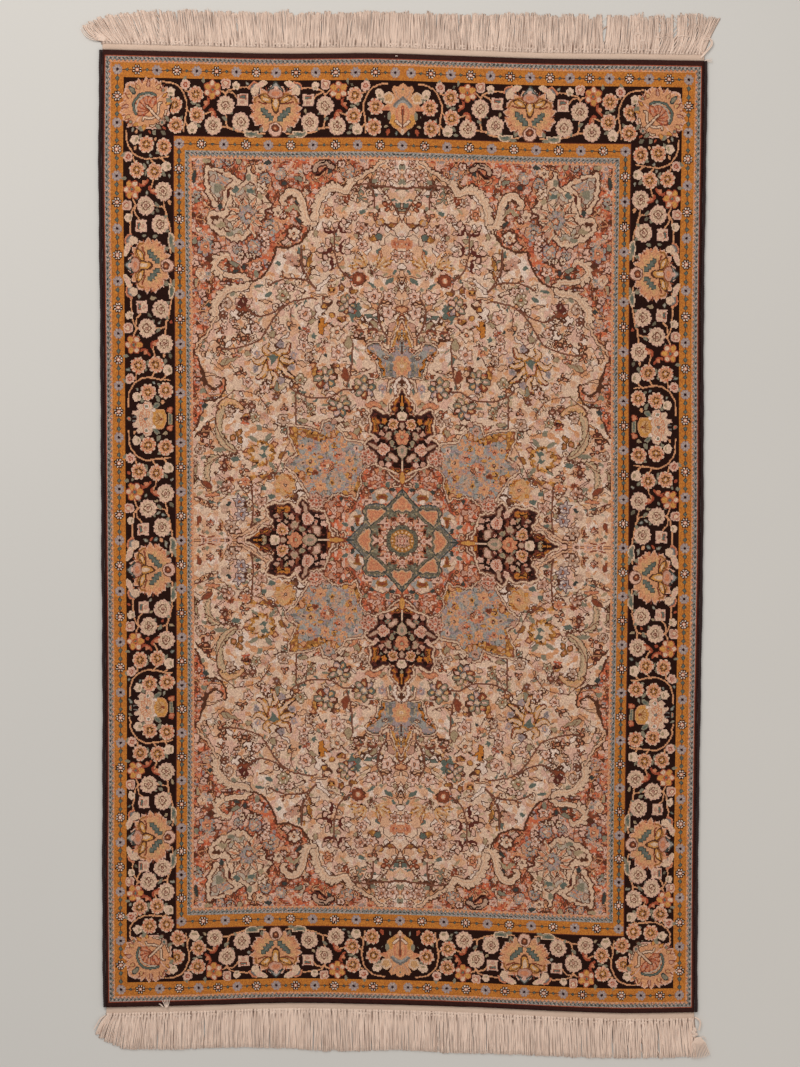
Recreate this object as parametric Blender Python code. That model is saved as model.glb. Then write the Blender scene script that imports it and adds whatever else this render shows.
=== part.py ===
"""A hand-knotted silk rug lying flat on a floor.

It is made as the real one is: the knotted pile in one flat piece, a cord overcast along
each long side, a flat-woven band at each end, and beyond each band the warp ends, knotted
into a row and left as a fringe. The length runs along Y, the pile faces +Z, and the
origin is on the floor under the middle of the whole rug, fringes included.
"""

import math
from typing import NamedTuple

import bmesh
import bpy
import numpy as np
from mathutils import Vector

MM = 0.001

# Driving sizes, in metres.
PILE_THICKNESS = 0.0048  # foundation and cut pile together
CORD_WIDTH = 0.0050
CORD_HEIGHT = 0.0046
BAND_DEPTH = 0.0105  # the flat-woven band between pile and fringe
BAND_THICKNESS = 0.0018
KNOT_ROW_DEPTH = 0.0045
FRINGE_THICKNESS = 0.0022
SEAM = 0.0003  # the gap at which neighbouring pieces meet

SIDE_STEPS = 24  # straight stretches along each long side
END_STEPS = 16  # and along each short side
TASSELS = 92  # fringe tassels at each end
TASSEL_SHARE = 0.82  # of its pitch that a tassel's root takes
TIP_SHARE = 0.55  # of its root's width that a tassel's tip keeps


class SideRow(NamedTuple):
    """Where the two long edges of the pile lie, at one share of its length."""

    share: float
    left_mm: float
    right_mm: float


class EndRow(NamedTuple):
    """Where the two short edges of the pile lie, at one share of its width."""

    share: float
    near_mm: float
    far_mm: float


class FringeRow(NamedTuple):
    """A fringe's length and outward lean, at one share of the rug's width."""

    share: float
    length_mm: float
    lean_deg: float


# The rug is a little wider at its far end and its ends wander, as loom work does.
SIDES = [
    SideRow(0.00, -452.5, 446.5),
    SideRow(0.10, -454.0, 447.0),
    SideRow(0.25, -453.5, 449.5),
    SideRow(0.50, -455.5, 455.5),
    SideRow(0.75, -457.5, 456.5),
    SideRow(0.90, -460.0, 460.0),
    SideRow(1.00, -458.5, 462.0),
]
ENDS = [
    EndRow(0.00, -728.0, 736.0),
    EndRow(0.15, -725.0, 732.5),
    EndRow(0.30, -720.5, 729.5),
    EndRow(0.45, -722.5, 730.5),
    EndRow(0.60, -726.5, 726.0),
    EndRow(0.75, -733.0, 721.5),
    EndRow(0.88, -737.0, 720.5),
    EndRow(1.00, -735.5, 718.5),
]
# A lean above zero tips a tassel towards +X.
FAR_FRINGE = [
    FringeRow(0.00, 38.0, -54.0),
    FringeRow(0.03, 43.0, -36.0),
    FringeRow(0.08, 46.0, -17.0),
    FringeRow(0.20, 48.0, -6.0),
    FringeRow(0.35, 49.0, 1.0),
    FringeRow(0.60, 47.0, 2.0),
    FringeRow(0.80, 49.0, 5.0),
    FringeRow(0.92, 51.0, 12.0),
    FringeRow(1.00, 50.0, 24.0),
]
NEAR_FRINGE = [
    FringeRow(0.00, 36.0, -34.0),
    FringeRow(0.04, 44.0, -20.0),
    FringeRow(0.10, 50.0, -8.0),
    FringeRow(0.30, 56.0, -1.0),
    FringeRow(0.55, 57.0, 0.0),
    FringeRow(0.80, 56.0, 2.0),
    FringeRow(0.95, 55.0, 6.0),
    FringeRow(1.00, 54.0, 15.0),
]


def smooth_through(rows, column, at):
    """Reads a table's column at a share, on a cubic that passes through its rows."""
    shares = [row.share for row in rows]
    values = [getattr(row, column) for row in rows]
    slopes = np.gradient(values, shares)
    after = int(np.clip(np.searchsorted(shares, at), 1, len(rows) - 1))
    before = after - 1
    span = shares[after] - shares[before]
    t = (at - shares[before]) / span
    return (
        (2 * t**3 - 3 * t**2 + 1) * values[before]
        + (t**3 - 2 * t**2 + t) * span * slopes[before]
        + (3 * t**2 - 2 * t**3) * values[after]
        + (t**3 - t**2) * span * slopes[after]
    )


def on_rug(across, along):
    """The place on the pile at a share of its width and a share of its length."""
    left, right = (smooth_through(SIDES, c, along) * MM for c in ("left_mm", "right_mm"))
    near, far = (smooth_through(ENDS, c, across) * MM for c in ("near_mm", "far_mm"))
    return Vector((left + across * (right - left), near + along * (far - near), 0.0))


def shares(steps):
    """Evenly spaced shares from 0 to 1."""
    return [float(share) for share in np.linspace(0, 1, steps + 1)]


def yarn(name, colour, roughness):
    """A yarn's material: its colour is linear RGB."""
    material = bpy.data.materials.new(name)
    material.use_nodes = True
    shader = material.node_tree.nodes["Principled BSDF"]
    shader.inputs["Base Color"].default_value = (*colour, 1)
    shader.inputs["Roughness"].default_value = roughness
    shader.inputs["Metallic"].default_value = 0
    return material


def add_object(name, bm, material):
    """Turns a bmesh into a named object with one material."""
    bmesh.ops.recalc_face_normals(bm, faces=bm.faces)
    mesh = bpy.data.meshes.new(name)
    bm.to_mesh(mesh)
    bm.free()
    mesh.materials.append(material)
    piece = bpy.data.objects.new(name, mesh)
    bpy.context.scene.collection.objects.link(piece)
    return piece


def thicken(bm, thickness):
    """Raises a flat sheet of faces, drawn on the floor, into a closed slab."""
    raised = bmesh.ops.extrude_face_region(bm, geom=list(bm.faces))["geom"]
    corners = [item for item in raised if isinstance(item, bmesh.types.BMVert)]
    bmesh.ops.translate(bm, verts=corners, vec=(0, 0, thickness))


def ribbon(bm, lower, upper):
    """Faces between two rows of points that have the same count."""
    rows = [[bm.verts.new(point) for point in row] for row in (lower, upper)]
    for i in range(len(lower) - 1):
        bm.faces.new((rows[0][i], rows[0][i + 1], rows[1][i + 1], rows[1][i]))
    return rows


def make_pile(material):
    """The knotted carpet: one flat slab with the loom's uneven outline."""
    bm = bmesh.new()
    across, along = shares(END_STEPS), shares(SIDE_STEPS)
    outline = [on_rug(u, 0) for u in across]
    outline += [on_rug(1, v) for v in along[1:]]
    outline += [on_rug(u, 1) for u in reversed(across[:-1])]
    outline += [on_rug(0, v) for v in reversed(along[1:-1])]
    bm.faces.new([bm.verts.new(point) for point in outline])
    thicken(bm, PILE_THICKNESS)
    return add_object("rug_pile", bm, material)


def cord_section():
    """The side cord's cross-section: round above, flattened where it lies."""
    half = CORD_WIDTH / 2
    bulge = 0.62  # share of the half-width that the flattened foot takes
    points = [(-half * bulge, 0.0), (half * bulge, 0.0), (half, CORD_HEIGHT * 0.3)]
    arch = [math.radians(angle) for angle in (20, 55, 90, 125, 160)]
    rise = CORD_HEIGHT * 0.45
    points += [(half * math.cos(a), CORD_HEIGHT - rise + rise * math.sin(a)) for a in arch]
    points.append((-half, CORD_HEIGHT * 0.3))
    return points


def make_side_cord(name, across, outward, material):
    """The overcast cord along one long side: its section carried along the edge."""
    bm = bmesh.new()
    section = cord_section()
    offset = outward * (SEAM + CORD_WIDTH / 2)
    rings = []
    for v in shares(SIDE_STEPS):
        centre = on_rug(across, v) + Vector((offset, 0, 0))
        rings.append([bm.verts.new(centre + Vector((x, 0, z))) for x, z in section])
    count = len(section)
    for ring, following in zip(rings, rings[1:]):
        for i in range(count):
            j = (i + 1) % count
            bm.faces.new((ring[i], ring[j], following[j], following[i]))
    bm.faces.new(rings[0])
    bm.faces.new(rings[-1])
    return add_object(name, bm, material)


def end_line(along, distance, across):
    """A point at a distance outward of one short edge, on its straight stretches."""
    outward = 1 if along else -1
    step = min(int(across * END_STEPS), END_STEPS - 1)
    here, following = (on_rug((step + i) / END_STEPS, along) for i in (0, 1))
    edge = here.lerp(following, across * END_STEPS - step)
    return edge + Vector((0, outward * distance, 0))


def make_band(name, along, material):
    """The flat-woven band along one end of the pile."""
    bm = bmesh.new()
    lower = [end_line(along, SEAM, u) for u in shares(END_STEPS)]
    upper = [end_line(along, SEAM + BAND_DEPTH, u) for u in shares(END_STEPS)]
    ribbon(bm, lower, upper)
    thicken(bm, BAND_THICKNESS)
    return add_object(name, bm, material)


def make_fringe(name, along, table, material):
    """A comb: the row of knots is its back, and each tooth is one tassel of warp ends."""
    bm = bmesh.new()
    outward = 1 if along else -1
    root_at = 2 * SEAM + BAND_DEPTH + KNOT_ROW_DEPTH
    gap = (1 - TASSEL_SHARE) / 2
    edges = [(i + side) / TASSELS for i in range(TASSELS) for side in (gap, 1 - gap)]
    back = [end_line(along, root_at - KNOT_ROW_DEPTH, u) for u in edges]
    roots = [end_line(along, root_at, u) for u in edges]
    _, root_row = ribbon(bm, back, roots)
    for i in range(TASSELS):
        left, right = root_row[2 * i : 2 * i + 2]
        share = (i + 0.5) / TASSELS
        length = smooth_through(table, "length_mm", share) * MM
        lean = math.radians(smooth_through(table, "lean_deg", share))
        reach = Vector((math.sin(lean), outward * math.cos(lean), 0)) * length
        middle = (left.co + right.co) / 2
        tip_left, tip_right = (
            bm.verts.new(middle + (root.co - middle) * TIP_SHARE + reach)
            for root in (left, right)
        )
        bm.faces.new((left, right, tip_right, tip_left))
    thicken(bm, FRINGE_THICKNESS)
    return add_object(name, bm, material)


def centre_on_origin(pieces):
    """Moves the whole rug so that the origin is under the middle of its box."""
    corners = np.array([vertex.co for piece in pieces for vertex in piece.data.vertices])
    middle = (corners.min(axis=0) + corners.max(axis=0)) / 2
    for piece in pieces:
        piece.location = (-middle[0], -middle[1], 0)


def main():
    for thing in list(bpy.data.objects):
        bpy.data.objects.remove(thing)
    silk = yarn("silk_pile", (0.42, 0.25, 0.14), 0.55)
    dark_silk = yarn("dark_silk", (0.035, 0.014, 0.013), 0.6)
    cotton = yarn("ivory_cotton", (0.62, 0.44, 0.33), 0.8)
    pieces = [
        make_pile(silk),
        make_side_cord("side_cord_left", 0, -1, dark_silk),
        make_side_cord("side_cord_right", 1, 1, dark_silk),
        make_band("end_band_far", 1, cotton),
        make_band("end_band_near", 0, cotton),
        make_fringe("fringe_far", 1, FAR_FRINGE, cotton),
        make_fringe("fringe_near", 0, NEAR_FRINGE, cotton),
    ]
    centre_on_origin(pieces)


main()
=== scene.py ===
"""A hand-knotted silk rug, laid flat: its knotted design, its back, cords, bands and fringes.

The design is worked out as a knot chart, the way a rug's designer draws one: a grid with one
yarn for each knot, on which medallion, corners, borders and flowers are drawn from short
tables of places in millimetres. The pile is a sheet whose every face carries a block of that
chart, so the pattern belongs to the mesh and needs no picture.
"""

from __future__ import annotations

import logging
import math
from dataclasses import dataclass, field
from enum import Enum, IntEnum
from typing import Any, Callable, Sequence

import bpy
import numpy as np
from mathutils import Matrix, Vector


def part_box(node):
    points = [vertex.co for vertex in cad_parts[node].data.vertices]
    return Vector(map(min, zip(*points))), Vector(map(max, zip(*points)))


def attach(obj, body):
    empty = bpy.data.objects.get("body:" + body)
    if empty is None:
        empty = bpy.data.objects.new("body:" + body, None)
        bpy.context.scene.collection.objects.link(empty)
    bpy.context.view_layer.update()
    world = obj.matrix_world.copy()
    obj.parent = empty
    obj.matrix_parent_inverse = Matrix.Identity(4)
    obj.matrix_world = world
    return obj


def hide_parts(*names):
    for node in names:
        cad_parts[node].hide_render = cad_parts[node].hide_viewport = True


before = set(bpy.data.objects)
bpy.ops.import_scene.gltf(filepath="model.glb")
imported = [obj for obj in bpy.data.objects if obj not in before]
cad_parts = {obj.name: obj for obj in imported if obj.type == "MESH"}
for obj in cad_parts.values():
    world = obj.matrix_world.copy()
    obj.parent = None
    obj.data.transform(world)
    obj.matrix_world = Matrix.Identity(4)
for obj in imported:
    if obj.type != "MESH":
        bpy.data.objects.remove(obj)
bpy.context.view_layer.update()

log = logging.getLogger("silk_rug")

MM = 0.001
FLOOR_GAP = 0.0001  # the lowest that any vertex lies, in metres
SENSOR = 36.0  # the camera's sensor width, in mm
KNOT = 1.27  # millimetres from knot to knot, both ways
LATTICE = 211  # points along each side of a drift's lattice, after which it repeats
HALF_WIDTH = 457.2  # the design's own half width and half length, in mm, before the loom
HALF_LENGTH = 731.52  # pulls them out of true: 360 and 576 knots
Array = np.ndarray
Strands = tuple[np.ndarray, list[np.ndarray], np.ndarray]  # vertices, faces, a tone a vertex
Piece = bpy.types.Object
Depth = Callable[[Array, Array], Array]


class Yarn(IntEnum):
    """The dyed silks, in the order in which the palette holds them."""

    NIGHT = 0
    MAROON = 1
    BARK = 2
    RUST = 3
    BRICK = 4
    CORAL = 5
    SALMON = 6
    PEACH = 7
    PINK = 8
    ROSE = 9
    IVORY = 10
    CREAM = 11
    SAND = 12
    GOLD = 13
    AMBER = 14
    OCHRE = 15
    TEAL = 16
    SLATE = 17
    SAGE = 18
    OLIVE = 19
    MIST = 20
    PEWTER = 21
    LILAC = 22
    MOSS = 23
    WINE = 24
    CHALK = 25
    UMBER = 26
    APRICOT = 27
    BLUSH = 28
    ASH = 29
    FAWN = 30


# The yarns by their plain names, for the drawings' sake.
(NIGHT, MAROON, BARK, RUST, BRICK, CORAL, SALMON, PEACH, PINK, ROSE, IVORY, CREAM, SAND, GOLD, AMBER,
 OCHRE, TEAL, SLATE, SAGE, OLIVE, MIST, PEWTER, LILAC, MOSS, WINE, CHALK, UMBER, APRICOT, BLUSH, ASH,
 FAWN) = Yarn

# sRGB colours of the yarns, as the eye sees them in plain daylight.
YARN_HEX: dict[Yarn, str] = {
    NIGHT: "240B04", MAROON: "371A15", BARK: "55301F", RUST: "83412A", BRICK: "A04C33",
    CORAL: "C56443", SALMON: "C47C5A", PEACH: "CC9068", PINK: "BD8C76", ROSE: "D2A590",
    IVORY: "D8B59B", CREAM: "D3AF93", SAND: "B7917A", GOLD: "BA712F", AMBER: "C58948",
    OCHRE: "96602F", TEAL: "60655A", SLATE: "3C3D38", SAGE: "847A66", OLIVE: "A28A6C",
    MIST: "999189", PEWTER: "746C66", LILAC: "9C8683", MOSS: "6A604E", WINE: "5C2A20",
    CHALK: "DFC4B2", UMBER: "744634", APRICOT: "C79668", BLUSH: "D09F7E", ASH: "B39F8D",
    FAWN: "B99C7C",
}


# ---------------------------------------------------------------------------
# Places, shapes and the chart they are drawn on
# ---------------------------------------------------------------------------


@dataclass(frozen=True, eq=False)
class Place:
    """A motif's own axes on the chart.

    Args:
        x: The motif's middle, in mm across the rug.
        y: The same along it.
        axes: Two columns, the motif's own right and up as steps on the chart.
    """

    x: float
    y: float
    axes: Array = field(default_factory=lambda: np.eye(2))

    def at(self, x: float, y: float, turn: float = 0.0) -> Place:
        """A place given in this one's axes, turned by degrees.

        Args:
            x: Across, in mm.
            y: Along, in mm.
            turn: How far it is turned, in degrees anticlockwise.

        Returns:
            The new place, with its axes on the chart.
        """
        middle = self.axes @ (x, y)
        angle = math.radians(turn)
        turned = np.array([[math.cos(angle), -math.sin(angle)], [math.sin(angle), math.cos(angle)]])
        return Place(self.x + middle[0], self.y + middle[1], self.axes @ turned)


def spot(x: float, y: float, turn: float = 0.0) -> Place:
    """A place straight on the chart."""
    return HEART.at(x, y, turn)


HEART = Place(0.0, 0.0)  # the medallion's middle, and the chart's own axes


def polar(x: Array, y: Array) -> tuple[Array, Array]:
    """Radius and angle of each knot about a motif's middle."""
    return np.hypot(x, y), np.arctan2(y, x)


def disc(radius: float) -> Depth:
    """A round shape: how far each knot lies outside the circle."""
    return lambda x, y: np.hypot(x, y) - radius


def oval(half_wide: float, half_tall: float) -> Depth:
    """An ellipse: the scaled radius less one, times the shorter half."""
    return lambda x, y: (np.hypot(x / half_wide, y / half_tall) - 1) * min(half_wide, half_tall)


def lobed(radius: float, lobes: int, cut: float, phase: float = 0.0) -> Depth:
    """A rosette's outline: round lobes, the radius falling by a share at each cusp.

    Args:
        radius: At the lobes, in mm.
        lobes: How many there are.
        cut: The share of the radius lost at a cusp.
        phase: Where the first lobe points, in degrees.

    Returns:
        How far each knot lies outside the shape, in mm; negative inside.
    """

    def depth(x: Array, y: Array) -> Array:
        """How far each knot lies outside the lobes; negative inside."""
        r, a = polar(x, y)
        return r - radius * (1 - cut * (1 - np.abs(np.cos((a - math.radians(phase)) * lobes / 2))))

    return depth


def toothed(radius: float, teeth: int, cut: float, phase: float = 0.0) -> Depth:
    """A serrated outline: the radius falls and rises along straight flanks.

    Args:
        radius: At the teeth's tips, in mm.
        teeth: How many there are.
        cut: The share of the radius lost between them.
        phase: Where the pattern starts, in degrees.

    Returns:
        How far each knot lies outside the shape, in mm; negative inside.
    """

    def depth(x: Array, y: Array) -> Array:
        """The distance past the serrated edge along a knot's own radius.

        Args:
            x: Where the knots lie along the motif's own x axis, in mm.
            y: Where they lie along its y axis.

        Returns:
            How far each knot lies outside the shape, in mm; negative inside.
        """
        r, a = polar(x, y)
        wave = np.abs(((a - math.radians(phase)) * teeth / (2 * math.pi)) % 1 - 0.5) * 2
        return r - radius * (1 - cut * (1 - wave))

    return depth


def petals(count: int, ring: float, half_long: float, half_wide: float, phase: float = 0.0) -> Depth:
    """Separate oval petals round a ring, their long axes outward.

    Args:
        count: How many there are.
        ring: The radius at which their middles lie, in mm.
        half_long: Half a petal's length.
        half_wide: Half its width.
        phase: Where the first one points, in degrees.

    Returns:
        How far each knot lies outside the shape, in mm; negative inside.
    """

    def depth(x: Array, y: Array) -> Array:
        """The distance past the nearest petal, worked out in that petal's own axes.

        Args:
            x: Where the knots lie along the motif's own x axis, in mm.
            y: Where they lie along its y axis.

        Returns:
            How far each knot lies outside the shape, in mm; negative inside.
        """
        r, a = polar(x, y)
        step = 2 * math.pi / count
        off = (a - math.radians(phase) + step / 2) % step - step / 2
        return oval(half_long, half_wide)(r * np.cos(off) - ring, r * np.sin(off))

    return depth


def blade(length: float, width: float, belly: float = 0.5) -> Depth:
    """A leaf along +X from the middle of its foot: a sine from foot to tip, its widest at belly.

    Args:
        length: From foot to tip, in mm.
        width: At the widest.
        belly: The share of the length at which that is.

    Returns:
        How far each knot lies outside the shape, in mm; negative inside.
    """
    skew = math.log(0.5) / math.log(belly)

    def depth(x: Array, y: Array) -> Array:
        """The distance past the leaf's two flanks, and well outside beyond its foot and tip.

        Args:
            x: Where the knots lie along the motif's own x axis, in mm.
            y: Where they lie along its y axis.

        Returns:
            How far each knot lies outside the shape, in mm; negative inside.
        """
        share = np.clip(x / length, 0, 1)
        half = width / 2 * np.sin(math.pi * share**skew)
        return np.abs(y) - half + np.where((x < 0) | (x > length), 9.0, 0.0)

    return depth


def block(half_wide: float, half_tall: float) -> Depth:
    """A rectangle."""
    return lambda x, y: np.maximum(np.abs(x) - half_wide, np.abs(y) - half_tall)


def smooth(points: Sequence[tuple[float, ...]], step: float = 0.6, closed: bool = False) -> Array:
    """A Catmull-Rom curve through a list of points.

    Args:
        points: The points that it passes through, each x, y and any further columns.
        step: The spacing of the result, in mm.
        closed: Whether the last point leads back to the first.

    Returns:
        The curve's points, one row each.
    """
    p = np.array(points, float)
    p = np.vstack([p[-1:], p, p[:2]]) if closed else np.vstack([2 * p[0] - p[1], p, 2 * p[-1] - p[-2]])
    runs = []
    for a, b, c, d in zip(p, p[1:], p[2:], p[3:]):
        count = max(2, int(np.hypot(*(c - b)[:2]) / step))
        t = np.linspace(0, 1, count, endpoint=False)[:, None]
        runs.append(
            0.5 * (2 * b + (c - a) * t + (2 * a - 5 * b + 4 * c - d) * t**2 + (3 * b - a - 3 * c + d) * t**3)
        )
    return np.vstack([*runs, p[-2:-1]])


def outline(points: Sequence[tuple[float, float]], curved: bool = True) -> Depth:
    """A closed shape through a list of points: the distance to its edge, negative inside.

    The nearest distance is taken over all straight bits of the edge, and a knot is inside
    when a line to its right crosses the edge an odd number of times.

    Args:
        points: Its corners, in order.
        curved: Whether the edge curves through them.

    Returns:
        How far each knot lies outside the shape, in mm; negative inside.
    """
    edge = smooth(points, 2.5, closed=True)[:-1] if curved else np.array(points, float)

    def depth(x: Array, y: Array) -> Array:
        """The distance to the nearest straight bit of the edge.

        Args:
            x: Where the knots lie along the motif's own x axis, in mm.
            y: Where they lie along its y axis.

        Returns:
            How far each knot lies outside the shape, in mm; negative inside.
        """
        near = np.full(x.shape, np.inf)
        inside = np.zeros(x.shape, bool)
        for (ax, ay), (bx, by) in zip(edge, np.roll(edge, -1, axis=0)):
            ex, ey = bx - ax, by - ay
            t = np.clip(((x - ax) * ex + (y - ay) * ey) / max(ex * ex + ey * ey, 1e-9), 0, 1)
            near = np.minimum(near, np.hypot(x - ax - t * ex, y - ay - t * ey))
            crosses = (ay > y) != (by > y)
            inside ^= crosses & (x < (ex * (y - ay) / (ey if ey else 1e-9) + ax))
        return np.where(inside, -near, near)

    return depth


def mirrored(half: Sequence[tuple[float, float]]) -> list[tuple[float, float]]:
    """A closed outline from its right half, whose first and last points lie on the middle line."""
    return [*half, *((-x, y) for x, y in reversed(half[1:-1]))]


def above(shape: Depth, level: float) -> Depth:
    """The part of a shape that lies above a level."""
    return lambda x, y: np.maximum(shape(x, y), level - y)


def either(*shapes: Depth) -> Depth:
    """The union of some shapes."""
    return lambda x, y: np.minimum.reduce([shape(x, y) for shape in shapes])


def drift(x: Array, y: Array, cell: float, seed: int) -> Array:
    """Smooth random heights from about -1 to 1, the same for the same seed.

    A square lattice holds random numbers; between its points they blend by s * s * (3 - 2s).

    Args:
        x: Places in mm.
        y: Places in mm.
        cell: The lattice's spacing, in mm.
        seed: Which of many such fields to take.

    Returns:
        A height for each place.
    """
    table = np.random.default_rng(seed).uniform(-1, 1, (LATTICE, LATTICE))
    i, j = np.floor(x / cell).astype(int), np.floor(y / cell).astype(int)
    s, t = x / cell - i, y / cell - j
    s, t = s * s * (3 - 2 * s), t * t * (3 - 2 * t)
    columns = [i % LATTICE, (i + 1) % LATTICE]
    rows = [j % LATTICE, (j + 1) % LATTICE]
    below, above = ((1 - s) * table[row, columns[0]] + s * table[row, columns[1]] for row in rows)
    return (1 - t) * below + t * above


def core(inside: Array) -> Array:
    """What is left of a patch of knots without its outermost ones.

    Args:
        inside: Which knots the patch holds.

    Returns:
        Which of them have all four neighbours in it.
    """
    left = inside.copy()
    left[1:] &= inside[:-1]
    left[:-1] &= inside[1:]
    left[:, 1:] &= inside[:, :-1]
    left[:, :-1] &= inside[:, 1:]
    return left


class Chart:
    """A grid of knots, each holding its yarn.

    Args:
        x_span: The lowest and highest x that it covers, in mm.
        y_span: The same for y.
        ground: The yarn it starts with.
        waver: How far an outline strays as it is knotted, in mm.
    """

    def __init__(
        self, x_span: tuple[float, float], y_span: tuple[float, float], ground: Yarn, waver: float = 0.0
    ) -> None:
        """Lays out the grid.

        Args:
            x_span: The lowest and highest x, in mm.
            y_span: The same for y.
            ground: The yarn it starts with.
            waver: How far an outline strays, in mm.
        """
        columns, rows = (round((b - a) / KNOT) for a, b in (x_span, y_span))
        self.x = x_span[0] + (np.arange(columns) + 0.5) * KNOT
        self.y = y_span[0] + (np.arange(rows) + 0.5) * KNOT
        self.knots = np.full((rows, columns), int(ground), np.uint8)
        self.waver = waver
        self.stray = self.wander(*np.meshgrid(self.x, self.y))

    @staticmethod
    def wander(x: Array, y: Array) -> Array:
        """How far a place strays each way, for a waver of 1 mm; nothing across the mirror lines."""
        strays = [drift(x, y, 6.1, seed) + 0.7 * drift(x, y, 2.9, seed + 1) for seed in (71, 81)]
        return np.stack([strays[0] * np.clip(np.abs(x) / 7, 0, 1), strays[1] * np.clip(np.abs(y) / 7, 0, 1)])

    def places(self) -> tuple[Array, Array]:
        """The x and y of every knot."""
        return np.meshgrid(self.x, self.y)

    def holds(self, yarns: Sequence[Yarn]) -> Array:
        """Which knots hold one of some yarns."""
        return np.isin(self.knots, list(yarns))

    def mottle(self, grounds: Sequence[Yarn], yarn: Yarn, cell: float, level: float, seed: int) -> None:
        """Turns soft patches of a ground to another yarn: those where a drift exceeds a level."""
        self.knots[self.holds(grounds) & (drift(*self.places(), cell, seed) > level)] = yarn

    def squiggle(
        self, grounds: Sequence[Yarn], yarn: Yarn, cell: float, seed: int, level: float = 0.0
    ) -> None:
        """Works thin winding lines into a ground: the contours of a drift, in patches.

        Args:
            grounds: The yarns that they may cover.
            yarn: Their own yarn.
            cell: The size of their turns, in mm.
            seed: Their drift's seed.
            level: The height of the second drift above which they are worked.
        """
        x, y = self.places()
        slope = 1.1 / cell  # a drift's usual steepness
        near = np.abs(drift(x, y, cell, seed)) < slope * KNOT * 0.55
        self.knots[self.holds(grounds) & near & (drift(x, y, cell * 3.3, seed + 7) > level)] = yarn

    def fronds(
        self, grounds: Sequence[Yarn], edge: Yarn, yarn: Yarn | None, cell: float, level: float, seed: int,
        turn: float,
    ) -> None:
        """Works outlined leaf-shaped patches into a ground: where a stretched drift exceeds a level.

        Args:
            grounds: The yarns that they may cover.
            edge: The yarn of their outline, one knot wide.
            yarn: The yarn inside it; none leaves the ground.
            cell: The patches' usual width, in mm; they are twice as long.
            level: The height that the drift must exceed.
            seed: The drift's seed.
            turn: Which way the patches run, in degrees.
        """
        x, y = self.places()
        x, y = x + 2.0 * self.stray[0], y + 2.0 * self.stray[1]
        angle = math.radians(turn)
        along, across = x * math.cos(angle) + y * math.sin(angle), y * math.cos(angle) - x * math.sin(angle)
        patch = self.holds(grounds) & (drift(along / 2.0 + 3000, across + 3000, cell, seed) > level)
        inner = core(patch)
        self.knots[patch & ~inner] = edge
        if yarn is not None:
            self.knots[inner] = yarn

    def trace(self, grounds: Sequence[Yarn], yarn: Yarn, seed: int, level: float = -2.0) -> None:
        """Outlines what stands on a ground with one knot, wherever a drift exceeds a level.

        Args:
            grounds: The yarns of the ground.
            yarn: The outline's yarn.
            seed: The drift's seed.
            level: The height that the drift must exceed.
        """
        ground = self.holds(grounds)
        beside = np.zeros(ground.shape, bool)
        for axis in (0, 1):
            for step in (1, -1):
                beside |= ~np.roll(ground, step, axis)
        self.knots[ground & beside & (drift(*self.places(), 11.0, seed) > level)] = yarn

    def window(self, place: Place, reach: float) -> tuple[Array, Array, Array]:
        """The knots near a place, with each one's x and y in the motif's axes.

        Args:
            place: The motif's axes.
            reach: How far from its middle it can extend, in mm.

        Returns:
            A view of the knots, and their x and y.
        """
        wide, tall = np.abs(place.axes).sum(axis=1) * reach
        i = slice(*np.searchsorted(self.x, (place.x - wide, place.x + wide)))
        j = slice(*np.searchsorted(self.y, (place.y - tall, place.y + tall)))
        x, y = np.meshgrid(self.x[i] - place.x, self.y[j] - place.y)
        x, y = x + self.waver * self.stray[0, j, i], y + self.waver * self.stray[1, j, i]
        inverse = np.linalg.inv(place.axes)
        return self.knots[j, i], inverse[0, 0] * x + inverse[0, 1] * y, inverse[1, 0] * x + inverse[1, 1] * y

    def fill(self, place: Place, reach: float, shape: Depth, *layers: Yarn | tuple[float, Yarn]) -> None:
        """Fills a shape with one yarn after another.

        Args:
            place: The shape's axes.
            reach: How far from its middle it can extend, in mm.
            shape: Its depth function.
            layers: Yarns, each alone or with an inset in mm before it; one below zero is an edging.
        """
        knots, x, y = self.window(place, reach + 3)
        if knots.size:
            depth = shape(x, y)
            for layer in layers:
                inset, yarn = layer if isinstance(layer, tuple) else (0, layer)
                knots[depth < -inset] = yarn

    def ovals(self, reach: float, rows: Sequence[tuple[Any, ...]]) -> None:
        """Fills ovals, each given by x, y, half width, half height, yarn and, if turned, degrees."""
        for x, y, half_wide, half_tall, yarn, *turn in rows:
            self.fill(spot(x, y, *turn), reach, oval(half_wide, half_tall), yarn)

    def cell(self, place: Place, reach: float, shape: Depth, edge: Yarn, yarn: Yarn) -> None:
        """Fills a shape with one yarn, inside an outline one knot wide of another.

        Args:
            place: The shape's axes.
            reach: How far from its middle it can extend, in mm.
            shape: Its depth function.
            edge: The outline's yarn.
            yarn: The yarn inside it.
        """
        knots, x, y = self.window(place, reach + 3)
        if knots.size:
            inside = shape(x, y) < 0
            knots[inside] = edge
            knots[core(inside)] = yarn

    def over(self, place: Place, reach: float, shape: Depth, yarn: Yarn, grounds: Sequence[Yarn]) -> None:
        """Fills a shape only where the knots now hold one of some yarns.

        Args:
            place: The shape's axes.
            reach: How far from its middle it can extend, in mm.
            shape: Its depth function.
            yarn: Its own yarn.
            grounds: The yarns that it may cover.
        """
        knots, x, y = self.window(place, reach + 3)
        if knots.size:
            knots[(shape(x, y) < 0) & np.isin(knots, list(grounds))] = yarn

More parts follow.
